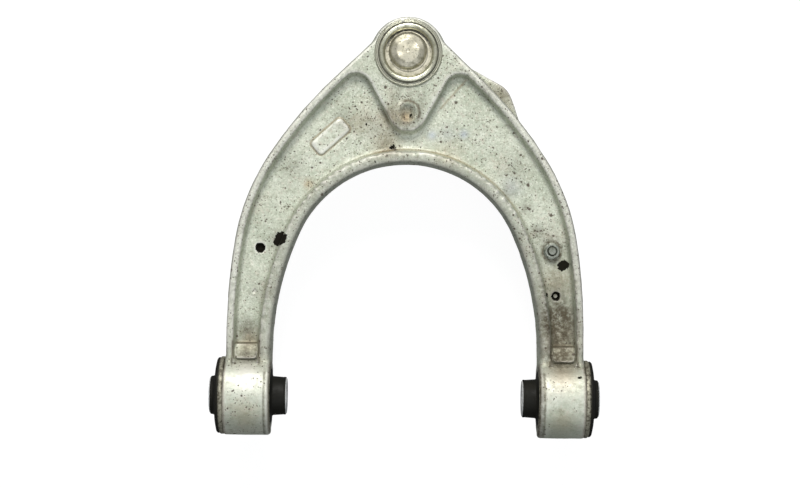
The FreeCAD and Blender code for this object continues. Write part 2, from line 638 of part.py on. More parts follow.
def make_bracket():
    """The pressed plate under the right web, with a nib in the second hole and a tab below."""
    bracket = add_body("sensor_bracket")
    plate = add_sketch(bracket, "bracket_outline", "XY_Plane", ("0", "0", "-web_half"))
    left, right = "nib_x - bracket_left", "nib_x + bracket_right"
    foot = "nib_y - bracket_foot"
    draw(plate, [("bolt_x - bracket_half", "bolt_y", "bracket_half", -1),
                 ("bolt_x", "bolt_y + bracket_half", "bracket_half", -1),
                 ("bolt_x + bracket_half", "bolt_y"), (right, foot), (left, foot)])
    add_feature(bracket, "Pad", plate, "bracket_plate", Length="bracket_thick", Reversed=True)
    tab = add_sketch(bracket, "tab_outline", "XY_Plane", ("0", "0", "-web_half"))
    draw(tab, [(left, foot), (right, foot), (right, foot + " + bracket_thick"),
               (left, foot + " + bracket_thick")])
    add_feature(bracket, "Pad", tab, "bracket_tab", Length="bracket_drop", Reversed=True)
    nib = add_sketch(bracket, "nib_outline", "XY_Plane", ("0", "0", "-web_half"))
    draw_circle(nib, "nib_x", "nib_y", "nib_radius")
    add_feature(bracket, "Pad", nib, "nib", Length="nib_rise")
    hole = add_sketch(bracket, "bracket_hole_outline", "XY_Plane")
    draw_circle(hole, "bolt_x", "bolt_y", "bolt_hole")
    cut(bracket, "Pocket", hole, "bracket_hole", SideType="Symmetric", Length="4*half_height")
    link = add_sketch(bracket, "link_hole_outline", "XZ_Plane", ("0", "0", "-(%s)" % foot))
    draw_circle(link, "nib_x + (bracket_right - bracket_left)/2",
                "link_edge - web_half - bracket_drop", "link_hole")
    cut(bracket, "Pocket", link, "link_hole_cut", SideType="Symmetric", Length="4*bracket_thick")

    def cuts_corner(edge):
        box = edge.BoundBox
        across = box.YLength > TOLERANCE and box.XLength < TOLERANCE
        return across and box.ZMax < -value("bracket_drop")
    round_edges(bracket, "tab_corners", cuts_corner, "tab_round")


def make_bolt_and_nut():
    """The M6 bolt from below and the nut on the web, each with a round bearing face."""
    bolt = add_body("bracket_bolt", x="bolt_x", y="bolt_y")
    under = "(-web_half - bracket_thick)"
    face = "(%s - head_face_height)" % under
    shank = add_sketch(bolt, "bolt_outline", "XZ_Plane")
    draw(shank, [("0", "bolt_end"), ("0", face), ("head_face", face), ("head_face", under),
                 ("bolt_radius", under), ("bolt_radius", "bolt_end - bolt_chamfer"),
                 ("bolt_radius - bolt_chamfer", "bolt_end")])
    add_feature(bolt, "Revolution", shank, "bolt_turned", Angle="360",
                ReferenceAxis=(shank, ["V_Axis"]))
    head = add_sketch(bolt, "bolt_head_outline", "XY_Plane", ("0", "0", face))
    draw_hexagon(head, "0", "0", "hex_flats")
    add_feature(bolt, "Pad", head, "bolt_head", Length="head_height - head_face_height",
                Reversed=True)
    nut = add_body("bracket_nut", x="bolt_x", y="bolt_y")
    round_face = add_sketch(nut, "nut_face_outline", "XY_Plane", ("0", "0", "web_half"))
    draw_circle(round_face, "0", "0", "nut_face")
    add_feature(nut, "Pad", round_face, "nut_face_disc", Length="nut_face_height")
    block = add_sketch(nut, "nut_outline", "XY_Plane", ("0", "0", "web_half + nut_face_height"))
    draw_hexagon(block, "0", "0", "hex_flats")
    add_feature(nut, "Pad", block, "nut_block", Length="nut_height - nut_face_height")
    bore = add_sketch(nut, "nut_bore_outline", "XY_Plane")
    draw_circle(bore, "0", "0", "bolt_radius")
    cut(nut, "Pocket", bore, "nut_bore", SideType="Symmetric", Length="4*half_height")


# ---------------------------------------------------------------- build, check and write

make_arm_forging()
make_ball_stud()
make_bearing_shell()
make_housing()
make_snap_ring()
make_cap()
make_preload_spring()
make_boot()
make_boot_ring("boot_upper_ring", "groove_radius", "upper_ring_z")
make_boot_ring("boot_lower_ring", "seat_radius", "lower_ring_z")
make_bush("left", "-eye_x", "180")
make_bush("right", "eye_x", "0")
make_bracket()
make_bolt_and_nut()
doc.recompute()

failed = [item.Label for item in doc.Objects
          if "Invalid" in item.State or "Error" in item.State]
if failed:
    raise RuntimeError("failed objects: " + ", ".join(failed))

os.makedirs("parts", exist_ok=True)
bodies = [item for item in doc.Objects if item.isDerivedFrom("PartDesign::Body")]
for body in bodies:
    if body.Shape.isNull() or not body.Shape.isValid() or len(body.Shape.Solids) != 1:
        raise RuntimeError(body.Label + " is not one valid solid")
for body in bodies:
    body.Shape.exportStep(os.path.join("parts", body.Label + ".step"))
    box = body.Shape.BoundBox
    print("%-24s %9.0f mm3  x %7.1f %7.1f  y %7.1f %7.1f  z %6.1f %6.1f" % (
        body.Label, body.Shape.Volume, box.XMin, box.XMax, box.YMin, box.YMax,
        box.ZMin, box.ZMax))
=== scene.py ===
"""The looks of a forged upper control arm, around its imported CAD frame. Lengths are in mm until
a mesh is made, and in metres for the camera, the lights and the floor."""

import math

import bmesh
import bpy
import numpy as np
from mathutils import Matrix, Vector


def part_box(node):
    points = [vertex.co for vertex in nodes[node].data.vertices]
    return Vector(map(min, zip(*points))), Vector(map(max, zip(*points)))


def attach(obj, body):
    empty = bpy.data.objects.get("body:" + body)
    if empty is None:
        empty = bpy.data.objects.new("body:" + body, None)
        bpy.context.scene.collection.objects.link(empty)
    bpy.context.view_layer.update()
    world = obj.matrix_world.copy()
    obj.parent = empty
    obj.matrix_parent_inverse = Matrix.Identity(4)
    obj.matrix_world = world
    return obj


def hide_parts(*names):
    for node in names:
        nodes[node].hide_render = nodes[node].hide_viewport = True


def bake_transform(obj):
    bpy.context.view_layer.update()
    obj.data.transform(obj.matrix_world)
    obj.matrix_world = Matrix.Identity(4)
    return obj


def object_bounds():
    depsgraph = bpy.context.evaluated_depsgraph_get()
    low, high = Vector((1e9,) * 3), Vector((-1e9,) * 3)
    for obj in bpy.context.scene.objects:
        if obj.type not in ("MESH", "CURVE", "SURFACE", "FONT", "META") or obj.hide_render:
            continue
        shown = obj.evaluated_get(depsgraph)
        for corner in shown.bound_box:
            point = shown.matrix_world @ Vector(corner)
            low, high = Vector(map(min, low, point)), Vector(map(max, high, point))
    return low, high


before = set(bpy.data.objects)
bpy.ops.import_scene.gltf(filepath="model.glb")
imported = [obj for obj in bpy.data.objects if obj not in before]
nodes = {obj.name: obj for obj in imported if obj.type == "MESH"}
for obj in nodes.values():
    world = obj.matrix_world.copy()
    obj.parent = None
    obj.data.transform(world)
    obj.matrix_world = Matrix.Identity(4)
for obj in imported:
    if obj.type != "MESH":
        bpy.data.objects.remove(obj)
cad_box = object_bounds()

MM = 0.001
JOINT_Y = 257.0
CROWN_Y = 87.2
WEB_TOP = 4.0

# A bush's middle is EYE_X from the arm's middle. The other heights run outboard from there: half
# the eye's width, the flange's face, the rubber cover's face and the ends of the inner sleeve.
EYE_X = 117.15
EYE_HALF = 17.25
FLANGE = EYE_HALF + 3.4
COVER = FLANGE + 3.6
CORE_INBOARD, CORE_OUTBOARD = -29.25, 28.45

# Places on the forging, seen from above.
LEDGE_X, LEDGE_HALF, LEDGE_END = 118.3, 9.8, 39.5
END_X = 103.7
NUT = (109.0, 110.8)
SPARE_HOLE = (-109.0, 110.8)
NIB = (112.5, 77.2)
ROUND_MARK = (-113.0, 78.4)
CUP = (0.0, 212.6)
LUG = (71.0, 227.0)
SCAR = (24.8, 216.6, 43.2, 237.7)
PLATE = (-57.6, 194.65)
PLATE_TURN = math.radians(42)
PLATE_HALF = (12.0, 3.25)
PLATE_CORNER = 3

# The camera looks straight down on the arm, from the distance that its perspective shows.
CAMERA_PLACE = (-0.00455, 0.1148, 1.5)
CAMERA_TURN = math.radians(0.70)
CAMERA_LENS = 90.0


# ---------------------------------------------------------------- materials

RANGE = ("From Min", "From Max", "To Min", "To Max")


class Shader:
    """A material's node tree, with short calls for the nodes it uses. Lengths are in mm."""

    def __init__(self, name):
        self.material = bpy.data.materials.new(name)
        self.material.use_nodes = True
        self.tree = self.material.node_tree
        self.surface = self.tree.nodes["Principled BSDF"]
        self.place = self.scaled(self.node("ShaderNodeTexCoord").outputs["Object"], 1 / MM)
        uneven = self.node("ShaderNodeTexNoise")
        self.link(self.place, uneven.inputs["Vector"])
        uneven.inputs["Scale"].default_value = 0.8
        uneven.inputs["Detail"].default_value = 3.0
        ragged = self.node("ShaderNodeVectorMath", operation="ADD")
        self.link(self.place, ragged.inputs[0])
        self.link(self.scaled(uneven.outputs["Color"], 1.6), ragged.inputs[1])
        self.ragged = ragged.outputs[0]

    def node(self, kind, **settings):
        made = self.tree.nodes.new(kind)
        for name, value in settings.items():
            setattr(made, name, value)
        return made

    def link(self, source, target):
        if isinstance(source, (int, float)):
            target.default_value = source
        elif isinstance(source, tuple):
            target.default_value = source if len(source) == 4 else source + (1,)
        else:
            self.tree.links.new(source, target)

    def scaled(self, vector, factor):
        made = self.node("ShaderNodeVectorMath", operation="SCALE")
        self.link(vector, made.inputs[0])
        made.inputs["Scale"].default_value = factor
        return made.outputs[0]

    def parts(self):
        """The place's three numbers."""
        made = self.node("ShaderNodeSeparateXYZ")
        self.link(self.place, made.inputs[0])
        return made.outputs

    def noise(self, size, detail=2.0, roughness=0.5, distortion=0.0, place=None):
        """Noise from 0 to 1 whose features are about size mm across."""
        made = self.node("ShaderNodeTexNoise")
        self.link(self.place if place is None else place, made.inputs["Vector"])
        made.inputs["Scale"].default_value = 1 / size
        made.inputs["Detail"].default_value = detail
        made.inputs["Roughness"].default_value = roughness
        made.inputs["Distortion"].default_value = distortion
        return made.outputs["Fac"]

    def ramp(self, value, low, high, start=0.0, end=1.0):
        """value taken smoothly from start at low to end at high."""
        made = self.node("ShaderNodeMapRange", interpolation_type="SMOOTHSTEP")
        self.link(value, made.inputs["Value"])
        for name, number in zip(RANGE, (low, high, start, end)):
            self.link(number, made.inputs[name])
        return made.outputs["Result"]

    def math(self, operation, first, second=0.0):
        made = self.node("ShaderNodeMath", operation=operation)
        self.link(first, made.inputs[0])
        self.link(second, made.inputs[1])
        return made.outputs[0]

    def mix(self, factor, first, second):
        made = self.node("ShaderNodeMix", data_type="RGBA")
        self.link(factor, made.inputs["Factor"])
        self.link(first, made.inputs["A"])
        self.link(second, made.inputs["B"])
        return made.outputs["Result"]

    def dots(self, cell, radius, share, crowd=1.0):
        """Round specks about radius mm across, one in each cell mm; share is how many show."""
        made = self.node("ShaderNodeTexVoronoi")
        self.link(self.ragged, made.inputs["Vector"])
        made.inputs["Scale"].default_value = 1 / cell
        edge = radius / cell
        spot = self.ramp(made.outputs["Distance"], edge * 0.55, edge, 1.0, 0.0)
        chance = self.node("ShaderNodeSeparateColor")
        self.link(made.outputs["Color"], chance.inputs[0])
        shown = self.math("LESS_THAN", chance.outputs[0], self.math("MULTIPLY", crowd, share))
        return self.math("MULTIPLY", spot, shown)

    def polar(self, along_x):
        """Distance from the pivot axis, or from the ball joint's axis, and height along it."""
        x, y, z = self.parts()
        across = self.math("SUBTRACT", y, 0.0 if along_x else JOINT_Y)
        other, height = (z, x) if along_x else (x, z)
        square = self.math("ADD", self.math("MULTIPLY", across, across),
                           self.math("MULTIPLY", other, other))
        return self.math("SQRT", square), height

    def rings(self, along_x, size):
        """Fine turned grooves, size mm apart, about the pivot axis or the ball joint's axis."""
        radius, height = self.polar(along_x)
        place = self.node("ShaderNodeCombineXYZ")
        self.link(radius, place.inputs[0])
        self.link(height, place.inputs[1])
        return self.noise(size, 3, 0.6, place=place.outputs[0])

    def attribute(self, name):
        return self.node("ShaderNodeAttribute", attribute_name=name).outputs["Fac"]

    def bump(self, height, strength, distance):
        made = self.node("ShaderNodeBump")
        made.inputs["Strength"].default_value = strength
        made.inputs["Distance"].default_value = distance * MM
        self.link(height, made.inputs["Height"])
        return made.outputs["Normal"]

    def finish(self, colour, roughness, metallic, normal):
        self.link(colour, self.surface.inputs["Base Color"])
        self.link(roughness, self.surface.inputs["Roughness"])
        self.link(metallic, self.surface.inputs["Metallic"])
        self.link(normal, self.surface.inputs["Normal"])
        return self.material


def forged_aluminium():
    """Shot-blasted forging: greenish grey, mottled, speckled with dirt, stained, with painted shade
    and highlights.
    """
    s = Shader("forged_aluminium")
    cloud = s.noise(30, 5, 0.65)
    mottle = s.noise(4.2, 6, 0.7)
    fine = s.noise(1.15, 5, 0.7)
    smooth = s.attribute("smooth")
    grain = s.ramp(smooth, 0, 1, 1.0, 0.3)
    broken = s.ramp(s.noise(3.0, 5, 0.7), 0.28, 0.60, 0.4, 1.0)
    colour = s.mix(s.ramp(cloud, 0.35, 0.66), (0.485, 0.53, 0.43), (0.62, 0.655, 0.555))
    for share, tint in (
            (s.ramp(s.noise(22, 3, 0.6, 0.4), 0.54, 0.72, 0.0, 0.35), (0.60, 0.55, 0.44)),
            (s.ramp(mottle, 0.48, 0.72, 0.0, 0.8), (0.32, 0.335, 0.25)),
            (s.ramp(mottle, 0.46, 0.28, 0.0, 0.5), (0.78, 0.79, 0.72)),
            (s.ramp(s.noise(2.4, 4, 0.7), 0.50, 0.68, 0.0, 0.5), (0.46, 0.53, 0.42)),
            (s.ramp(s.noise(3.1, 4, 0.7), 0.52, 0.70, 0.0, 0.45), (0.60, 0.52, 0.45)),
            (s.math("MULTIPLY", s.ramp(fine, 0.51, 0.68, 0.0, 0.6), grain), (0.20, 0.20, 0.14)),
            (s.math("MULTIPLY", s.ramp(fine, 0.47, 0.32, 0.0, 0.6), grain), (0.90, 0.91, 0.84)),
            # lighter where the forging is worn, and painted highlights on the eyes' barrels and in
            # the cup
            (s.attribute("wear_and_highlight"), (0.80, 0.80, 0.74)),
            (s.attribute("ochre"), (0.42, 0.31, 0.17)),
            (s.attribute("ink"), (0.36, 0.42, 0.60)),
            # painted shade in crevices, creases and on the cup's upper edge
            (s.attribute("corner"), (0.19, 0.17, 0.12)),
            # dirt, with painted shade on the cup's upper edge and the ribs' opening edge
            (s.math("MULTIPLY", s.attribute("dirt_and_shade"), broken), (0.085, 0.070, 0.042))):
        colour = s.mix(share, colour, tint)
    crowd = s.math("ADD", s.ramp(s.noise(22, 2, 0.5), 0.40, 0.70, 0.25, 1.15),
                   s.attribute("crowd"))
    crowd = s.math("SUBTRACT", crowd, s.math("MULTIPLY", smooth, 0.3))
    specks = s.dots(1.7, 0.48, 0.62, crowd)
    for cell, radius, share in ((2.7, 0.70, 0.50), (5.0, 1.05, 0.42), (9.0, 1.50, 0.38)):
        specks = s.math("MAXIMUM", specks, s.dots(cell, radius, share, crowd))
    colour = s.mix(s.math("MULTIPLY", specks, 0.92), colour, (0.060, 0.042, 0.025))
    # near black: soot spots, and painted shade in the holes
    soot_and_shade = s.ramp(s.math("ADD", s.attribute("soot_and_shade"), s.ramp(s.noise(1.6, 3), 0.3, 0.7, -0.2, 0.2)),
                  0.45, 0.58)
    colour = s.mix(soot_and_shade, colour, (0.010, 0.009, 0.006))
    height = s.math("ADD", s.math("MULTIPLY", fine, 0.5), s.math("MULTIPLY", mottle, 0.8))
    height = s.math("SUBTRACT", height, s.math("MULTIPLY", specks, 0.5))
    rough = s.math("MAXIMUM", s.ramp(mottle, 0.3, 0.75, 0.44, 0.66), s.ramp(soot_and_shade, 0, 1, 0, 0.85))
    metallic = s.ramp(s.math("MAXIMUM", soot_and_shade, specks), 0, 1, 0.45, 0.0)
    s.link(s.ramp(soot_and_shade, 0, 1, 0.5, 0.08), s.surface.inputs["Specular IOR Level"])
    return s.finish(colour, rough, metallic, s.bump(height, 0.6, 0.5))


def steel(name, base, dull, roughness, dirt_and_shade_bands=(), spots=0.5):
    """Turned or pressed steel: fine rings, a dull film in patches and dirt specks. Each band of
    dirt and painted shade lies between two distances from the ball joint's axis, and how much of it
    lies on the pivots' side is its third number; the rest is a painted shadow of the rim on the
    side away from the pivots."""
    s = Shader(name)
    film = s.ramp(s.noise(5, 5, 0.7), 0.42, 0.70, 0.0, 0.9)
    turned = s.rings(False, 0.35)
    colour = s.mix(film, base, dull)
    colour = s.mix(s.ramp(turned, 0.4, 0.75, 0.0, 0.3), colour, dull)
    specks = s.math("MAXIMUM", s.dots(1.9, 0.42, spots), s.dots(3.6, 0.62, spots))
    colour = s.mix(s.math("MULTIPLY", specks, 0.85), colour, (0.06, 0.05, 0.03))
    # dirt holds the bands of dirt and painted shade
    dirt = 0.0
    radius, _ = s.polar(False)
    y = s.parts()["Y"]
    for low, high, share in dirt_and_shade_bands:
        band = s.math("MULTIPLY", s.ramp(radius, low, low + 0.5),
                      s.ramp(radius, high, high + 0.5, 1.0, 0.0))
        # the painted shadow of the rim falls on the side away from the pivots
        side = s.ramp(y, JOINT_Y - 2, JOINT_Y + 11, share, 1.0)
        patchy = s.ramp(s.noise(2.6, 4, 0.65), 0.28, 0.55, 0.55, 1.0)
        dirt = s.math("MAXIMUM", dirt, s.math("MULTIPLY", band, s.math("MULTIPLY", side, patchy)))
    colour = s.mix(dirt, colour, (0.030, 0.028, 0.016))
    metallic = s.ramp(s.math("MAXIMUM", dirt, specks), 0.0, 1.0, 0.9, 0.1)
    rough = s.math("ADD", s.ramp(turned, 0.3, 0.7, roughness - 0.06, roughness + 0.08),
                   s.math("MULTIPLY", film, 0.18))
    height = s.math("ADD", s.math("MULTIPLY", turned, 0.5), s.noise(1.1, 4, 0.6))
    return s.finish(colour, rough, metallic, s.bump(height, 0.3, 0.2))


def bush_aluminium(name, base, roughness, metallic, dirt):
    """The turned sleeves of the bushes; dirt is how dark their dirty patches are."""
    s = Shader(name)
    mottle = s.noise(4, 4, 0.6)
    turned = s.rings(True, 0.4)
    dull = tuple(0.55 * c for c in base)
    colour = s.mix(s.ramp(mottle, 0.4, 0.75, 0.0, 0.75), base, dull)
    colour = s.mix(s.ramp(turned, 0.45, 0.8, 0.0, 0.35), colour, dull)
    colour = s.mix(s.math("MULTIPLY", s.dots(2.2, 0.42, 0.4), 0.75), colour, (0.08, 0.07, 0.05))
    colour = s.mix(s.ramp(s.noise(2.6, 5, 0.7), 0.44, 0.60, 0.0, dirt), colour, (0.05, 0.04, 0.025))
    rough = s.ramp(mottle, 0.3, 0.7, roughness - 0.05, roughness + 0.12)
    height = s.math("ADD", turned, s.noise(0.8, 3))
    return s.finish(colour, rough, metallic, s.bump(height, 0.18, 0.2))


def rubber(name, base, dust):
    s = Shader(name)
    patch = s.noise(8, 5, 0.65)
    fine = s.noise(0.7, 4, 0.6)
    colour = s.mix(s.ramp(patch, 0.45, 0.85, 0.0, 0.5), base, dust)
    colour = s.mix(s.math("MULTIPLY", s.dots(2.6, 0.28, 0.22), 0.4), colour, (0.12, 0.11, 0.085))
    rough = s.ramp(patch, 0.3, 0.7, 0.5, 0.75)
    s.surface.inputs["Specular IOR Level"].default_value = 0.2
    return s.finish(colour, rough, 0.0, s.bump(s.math("ADD", fine, patch), 0.3, 0.3))


def bearing_plastic():
    s = Shader("bearing_plastic")
    colour = s.mix(s.ramp(s.noise(6, 3), 0.3, 0.7), (0.72, 0.70, 0.62), (0.80, 0.79, 0.73))
    return s.finish(colour, 0.38, 0.0, s.bump(s.noise(1.5, 2), 0.05, 0.1))


MATERIALS = {
    "forged_aluminium": forged_aluminium(),
    # The cartridge's band is painted shade in the gap under the split ring, with some dirt.
    "zinc_plated_steel": steel("zinc_plated_steel", (0.60, 0.60, 0.48), (0.27, 0.27, 0.19), 0.30,
                               ((21.0, 22.6, 0.7),), 0.25),
    "snap_ring_steel": steel("snap_ring_steel", (0.62, 0.62, 0.51), (0.30, 0.30, 0.22), 0.28,
                             spots=0.3),
    # The cap's bands: painted shade in the groove at the dome's foot, and a painted shadow of the
    # rim across the flange away from the pivots.
    "pressed_steel": steel("pressed_steel", (0.68, 0.65, 0.53), (0.30, 0.29, 0.21), 0.44,
                           ((13.7, 14.3, 0.8), (15.5, 20.0, 0.12)), 0.8),
    "spring_steel": steel("spring_steel", (0.42, 0.42, 0.41), (0.20, 0.19, 0.17), 0.35),
    "stud_steel": steel("stud_steel", (0.50, 0.49, 0.46), (0.30, 0.27, 0.22), 0.30),
    "bracket_steel": steel("bracket_steel", (0.48, 0.47, 0.40), (0.27, 0.24, 0.17), 0.42),
    "fastener_steel": steel("fastener_steel", (0.32, 0.34, 0.30), (0.14, 0.15, 0.12), 0.42),
    "sleeve_aluminium": bush_aluminium("sleeve_aluminium", (0.37, 0.36, 0.28), 0.48, 0.5, 0.85),
    "core_aluminium": bush_aluminium("core_aluminium", (0.86, 0.88, 0.88), 0.34, 0.3, 0.25),
    "bush_rubber": rubber("bush_rubber", (0.007, 0.007, 0.005), (0.020, 0.018, 0.012)),
    "boot_rubber": rubber("boot_rubber", (0.011, 0.011, 0.011), (0.026, 0.025, 0.022)),
    "bearing_plastic": bearing_plastic(),
}


# ---------------------------------------------------------------- meshes

def put(name, mesh, body, slot, *replaced):
    """A piece from a mesh in metres, on a body, with its slot's material."""
    piece = bpy.data.objects.new(name, mesh)
    bpy.context.scene.collection.objects.link(piece)
    mesh.materials.clear()
    mesh.materials.append(MATERIALS[slot])
    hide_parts(*replaced)
    if body:
        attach(piece, body)
    return piece


def soften(mesh, angle=34):
    for polygon in mesh.polygons:
        polygon.use_smooth = True
    mesh.set_sharp_from_angle(angle=math.radians(angle))


def points_of(mesh):
    """The vertices, in mm."""
    flat = np.empty(len(mesh.vertices) * 3)
    mesh.vertices.foreach_get("co", flat)
    return flat.reshape(-1, 3) / MM


def move_points(mesh, places):
    mesh.vertices.foreach_set("co", (places * MM).ravel())
    mesh.update()


def normals_of(mesh):
    flat = np.empty(len(mesh.vertices) * 3)
    mesh.vertex_normals.foreach_get("vector", flat)
    return flat.reshape(-1, 3)


def step(value, low, high):
    """0 up to low, 1 from high, and smooth between them."""
    t = np.clip((value - low) / (high - low), 0, 1)
    return t * t * (3 - 2 * t)


def waves(places, size, seed):
    """Smooth uneven waves between about -1 and 1, about size mm across."""
    random = np.random.default_rng(seed)
    total = np.zeros(len(places))
    for _ in range(14):
        way = random.normal(size=3)
        way *= random.uniform(0.6, 1.6) / size / np.linalg.norm(way)
        total += np.sin(2 * math.pi * (places @ way) + random.uniform(0, 2 * math.pi))
    return total / 5


def distance(places, x, y):
    """Distance from the upright line through x, y."""
    return np.hypot(places[:, 0] - x, places[:, 1] - y)


def bearing(places, x, y):
    """Degrees round the upright line through x, y, from +X towards +Y."""
    return np.degrees(np.arctan2(places[:, 1] - y, places[:, 0] - x))


def ridge(value, middle, width):
    """1 where value is middle, falling off smoothly on both sides."""
    return np.exp(-((value - middle) / width) ** 2)


def solid(form, name):
    """The mesh of a closed form, facing outward."""
    bmesh.ops.recalc_face_normals(form, faces=form.faces)
    mesh = bpy.data.meshes.new(name)
    form.to_mesh(mesh)
    form.free()
    soften(mesh)
    return mesh


# ---------------------------------------------------------------- forged arm

VOXEL = 0.9
TRIANGLES = 186000
LINE = 0.9


def relaxed(mesh, places, rounds, weight=1.0):
    """The places moved rounds times half way to the middle of their neighbours."""
    edges = np.empty(len(mesh.edges) * 2, int)
    mesh.edges.foreach_get("vertices", edges)
    a, b = edges.reshape(-1, 2).T
    count = np.bincount(np.concatenate((a, b)), minlength=len(places))[:, None]
    for _ in range(rounds):
        total = np.zeros_like(places)
        for axis in range(3):
            total[:, axis] = (np.bincount(a, places[b, axis], len(places))
                              + np.bincount(b, places[a, axis], len(places)))
        places = places + (total / count - places) * 0.5 * weight
    return places


def near(places, marks):
    """How strongly the marks reach each place from above: x, y, reach and strength of each."""
    total = np.zeros(len(places))
    for x, y, reach, strength in marks:
        total += strength * ridge(distance(places, x, y), 0, reach)
    return total


def near_line(places, x0, y0, x1, y1, reach):
    """1 on a line seen from above, falling off at its sides."""
    along = np.array((x1 - x0, y1 - y0))
    part = np.clip(((places[:, :2] - (x0, y0)) @ along) / (along @ along), 0, 1)
    gap = np.hypot(places[:, 0] - x0 - part * along[0], places[:, 1] - y0 - part * along[1])
    return ridge(gap, 0, reach)


def plate_edge(places):
    """Distance out of the blank raised plate's outline."""
    x, y = places[:, 0] - PLATE[0], places[:, 1] - PLATE[1]
    u = np.abs(x * math.cos(PLATE_TURN) + y * math.sin(PLATE_TURN)) - PLATE_HALF[0]
    v = np.abs(-x * math.sin(PLATE_TURN) + y * math.cos(PLATE_TURN)) - PLATE_HALF[1]
    outside = np.hypot(np.maximum(u, 0), np.maximum(v, 0))
    return outside + np.minimum(np.maximum(u, v), 0) - PLATE_CORNER


def opening_gap(places, facing):
    """Distance outward from the edge of the arch's opening, seen from above."""
    offset = places[:, :2] - (0, CROWN_Y)
    reach, turn = np.hypot(*offset.T), np.arctan2(offset[:, 1], offset[:, 0])
    inward = np.einsum("ij,ij->i", facing[:, :2], offset) / np.maximum(reach, 1) < -0.7
    height = np.abs(places[:, 2])
    wall = np.flatnonzero(inward & (height > 2) & (height < 7) & (places[:, 1] > 24))
    wall = wall[np.argsort(turn[wall])]
    return reach - np.interp(turn, turn[wall], reach[wall])


def barrel(places):
    """1 on the turned barrels of the eyes, 0 up the legs."""
    return step(-places[:, 1], -24, -18)


def end_line(places):
    """1 on the line round each eye where its machined inboard end starts."""
    return ridge(np.abs(places[:, 0]), END_X, LINE) * barrel(places)


def make_forging():
    """The forging: the CAD shape with the soft blends and uneven skin that a forging has."""
    rough = bpy.data.objects.new("rough", nodes["arm_forging"].data.copy())
    bpy.context.scene.collection.objects.link(rough)
    remesh = rough.modifiers.new("remesh", "REMESH")
    remesh.mode = "VOXEL"
    remesh.voxel_size = VOXEL * MM
    graph = bpy.context.evaluated_depsgraph_get()
    rough.data = bpy.data.meshes.new_from_object(rough.evaluated_get(graph))
    rough.modifiers.clear()

    places = relaxed(rough.data, points_of(rough.data), 2)
    shoulder = step(places[:, 2], 4, 7) * step(places[:, 1], 18, 22) * step(-places[:, 1], -38, -33)
    places = relaxed(rough.data, places, 24, shoulder[:, None])
    gap = opening_gap(places, normals_of(rough.data))
    rim = step(-gap, -5, -2.5) * step(np.abs(places[:, 2]), 5, 8) * step(places[:, 1], 26, 36)
    places = relaxed(rough.data, places, 30, rim[:, None])
    inboard = step(-np.abs(np.abs(places[:, 0]) - 100), -4.5, -2) * step(-places[:, 1], -20, -14)
    places = relaxed(rough.data, places, 16, inboard[:, None])
    move_points(rough.data, places)
    shape_skin(rough.data)

    fewer = rough.modifiers.new("fewer", "DECIMATE")
    fewer.ratio = TRIANGLES / (2 * len(rough.data.polygons))
    graph = bpy.context.evaluated_depsgraph_get()
    mesh = bpy.data.meshes.new_from_object(rough.evaluated_get(graph))
    bpy.data.objects.remove(rough)
    for polygon in mesh.polygons:
        polygon.use_smooth = True
    stain(mesh)
    return put("forged_arm", mesh, "arm", "forged_aluminium", "arm_forging")


def shape_skin(mesh):
    """Details that the forging die and the hammer leave."""
    places, facing = points_of(mesh), normals_of(mesh)
    up = step(facing[:, 2], 0.5, 0.8)
    web = up * step(-np.abs(places[:, 2] - WEB_TOP - 0.5), -2.2, -1.6)
    edge = plate_edge(places)
    plate = 1.25 * step(-edge, -0.35, 0.55) - 0.30 * ridge(edge, 1.0, 0.6)
    blank = web * step(-edge, -5, -4)
    places[:, 2] += blank * (WEB_TOP + plate - places[:, 2])
    across = np.abs(np.abs(places[:, 0]) - LEDGE_X)
    ledge = up * step(-across, -10.8, -9.0) * step(places[:, 1], 23, 26)
    ledge *= step(-places[:, 1], -41, -38) * step(places[:, 2], 3.4, 7.0)
    places[:, 2] += 6.5 * ledge * step(-places[:, 1], -38.5, -25)
    lift = 0.09 * waves(places, 21, 1) + 0.05 * waves(places, 6, 2)
    lift += web * 0.18 * near_line(places, *SCAR, LINE)
    mark = distance(places, *ROUND_MARK)
    lift += web * (0.25 * ridge(mark, 2.4, 0.5) - 0.5 * step(-mark, -2.1, -1.5))
    lift -= 0.25 * end_line(places)
    sides = step(-np.abs(facing[:, 2]), -0.35, -0.15)
    outline = np.abs(places[:, 0]) < 132.8
    lift += 0.45 * sides * outline * ridge(places[:, 2], 0, 0.8)
    places = places + facing * lift[:, None]
    low, high = (np.array(corner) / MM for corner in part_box("arm_forging"))
    move_points(mesh, np.clip(places, low, high))


# Marks for near(): x, y, reach and strength of each.
GRIME = (
    (-116.5, 33.5, 11.0, 0.75), (-118.0, 51.0, 7.0, 0.75), (116.5, 33.0, 13.0, 1.0),
    (116.0, 55.0, 13.0, 1.1), (114.0, 66.0, 12.0, 0.6), (113.0, 84.0, 14.0, 0.45),
    (110.0, 108.0, 13.0, 0.35), (107.0, 118.0, 10.0, 0.3), (-17.0, 199.0, 11.0, 0.35),
    (-31.0, 204.7, 8.0, 0.3), (-15.0, 186.5, 9.0, 0.4), (-86.0, 171.0, 9.0, 0.3),
    (-108.0, 78.0, 8.0, 0.25), (89.1, 142.8, 4.0, 0.6), (97.5, 125.7, 4.5, 0.6),
    (80.0, 173.0, 12.0, 0.22), (0.0, 211.5, 5.0, 0.3), (-16.0, 212.0, 5.0, 0.5),
    (60.0, 231.0, 6.0, 0.3), (76.2, 156.1, 5.0, 0.4), (-97.0, 116.5, 5.0, 0.55),
    (-47.0, 208.0, 9.0, 0.3),
)
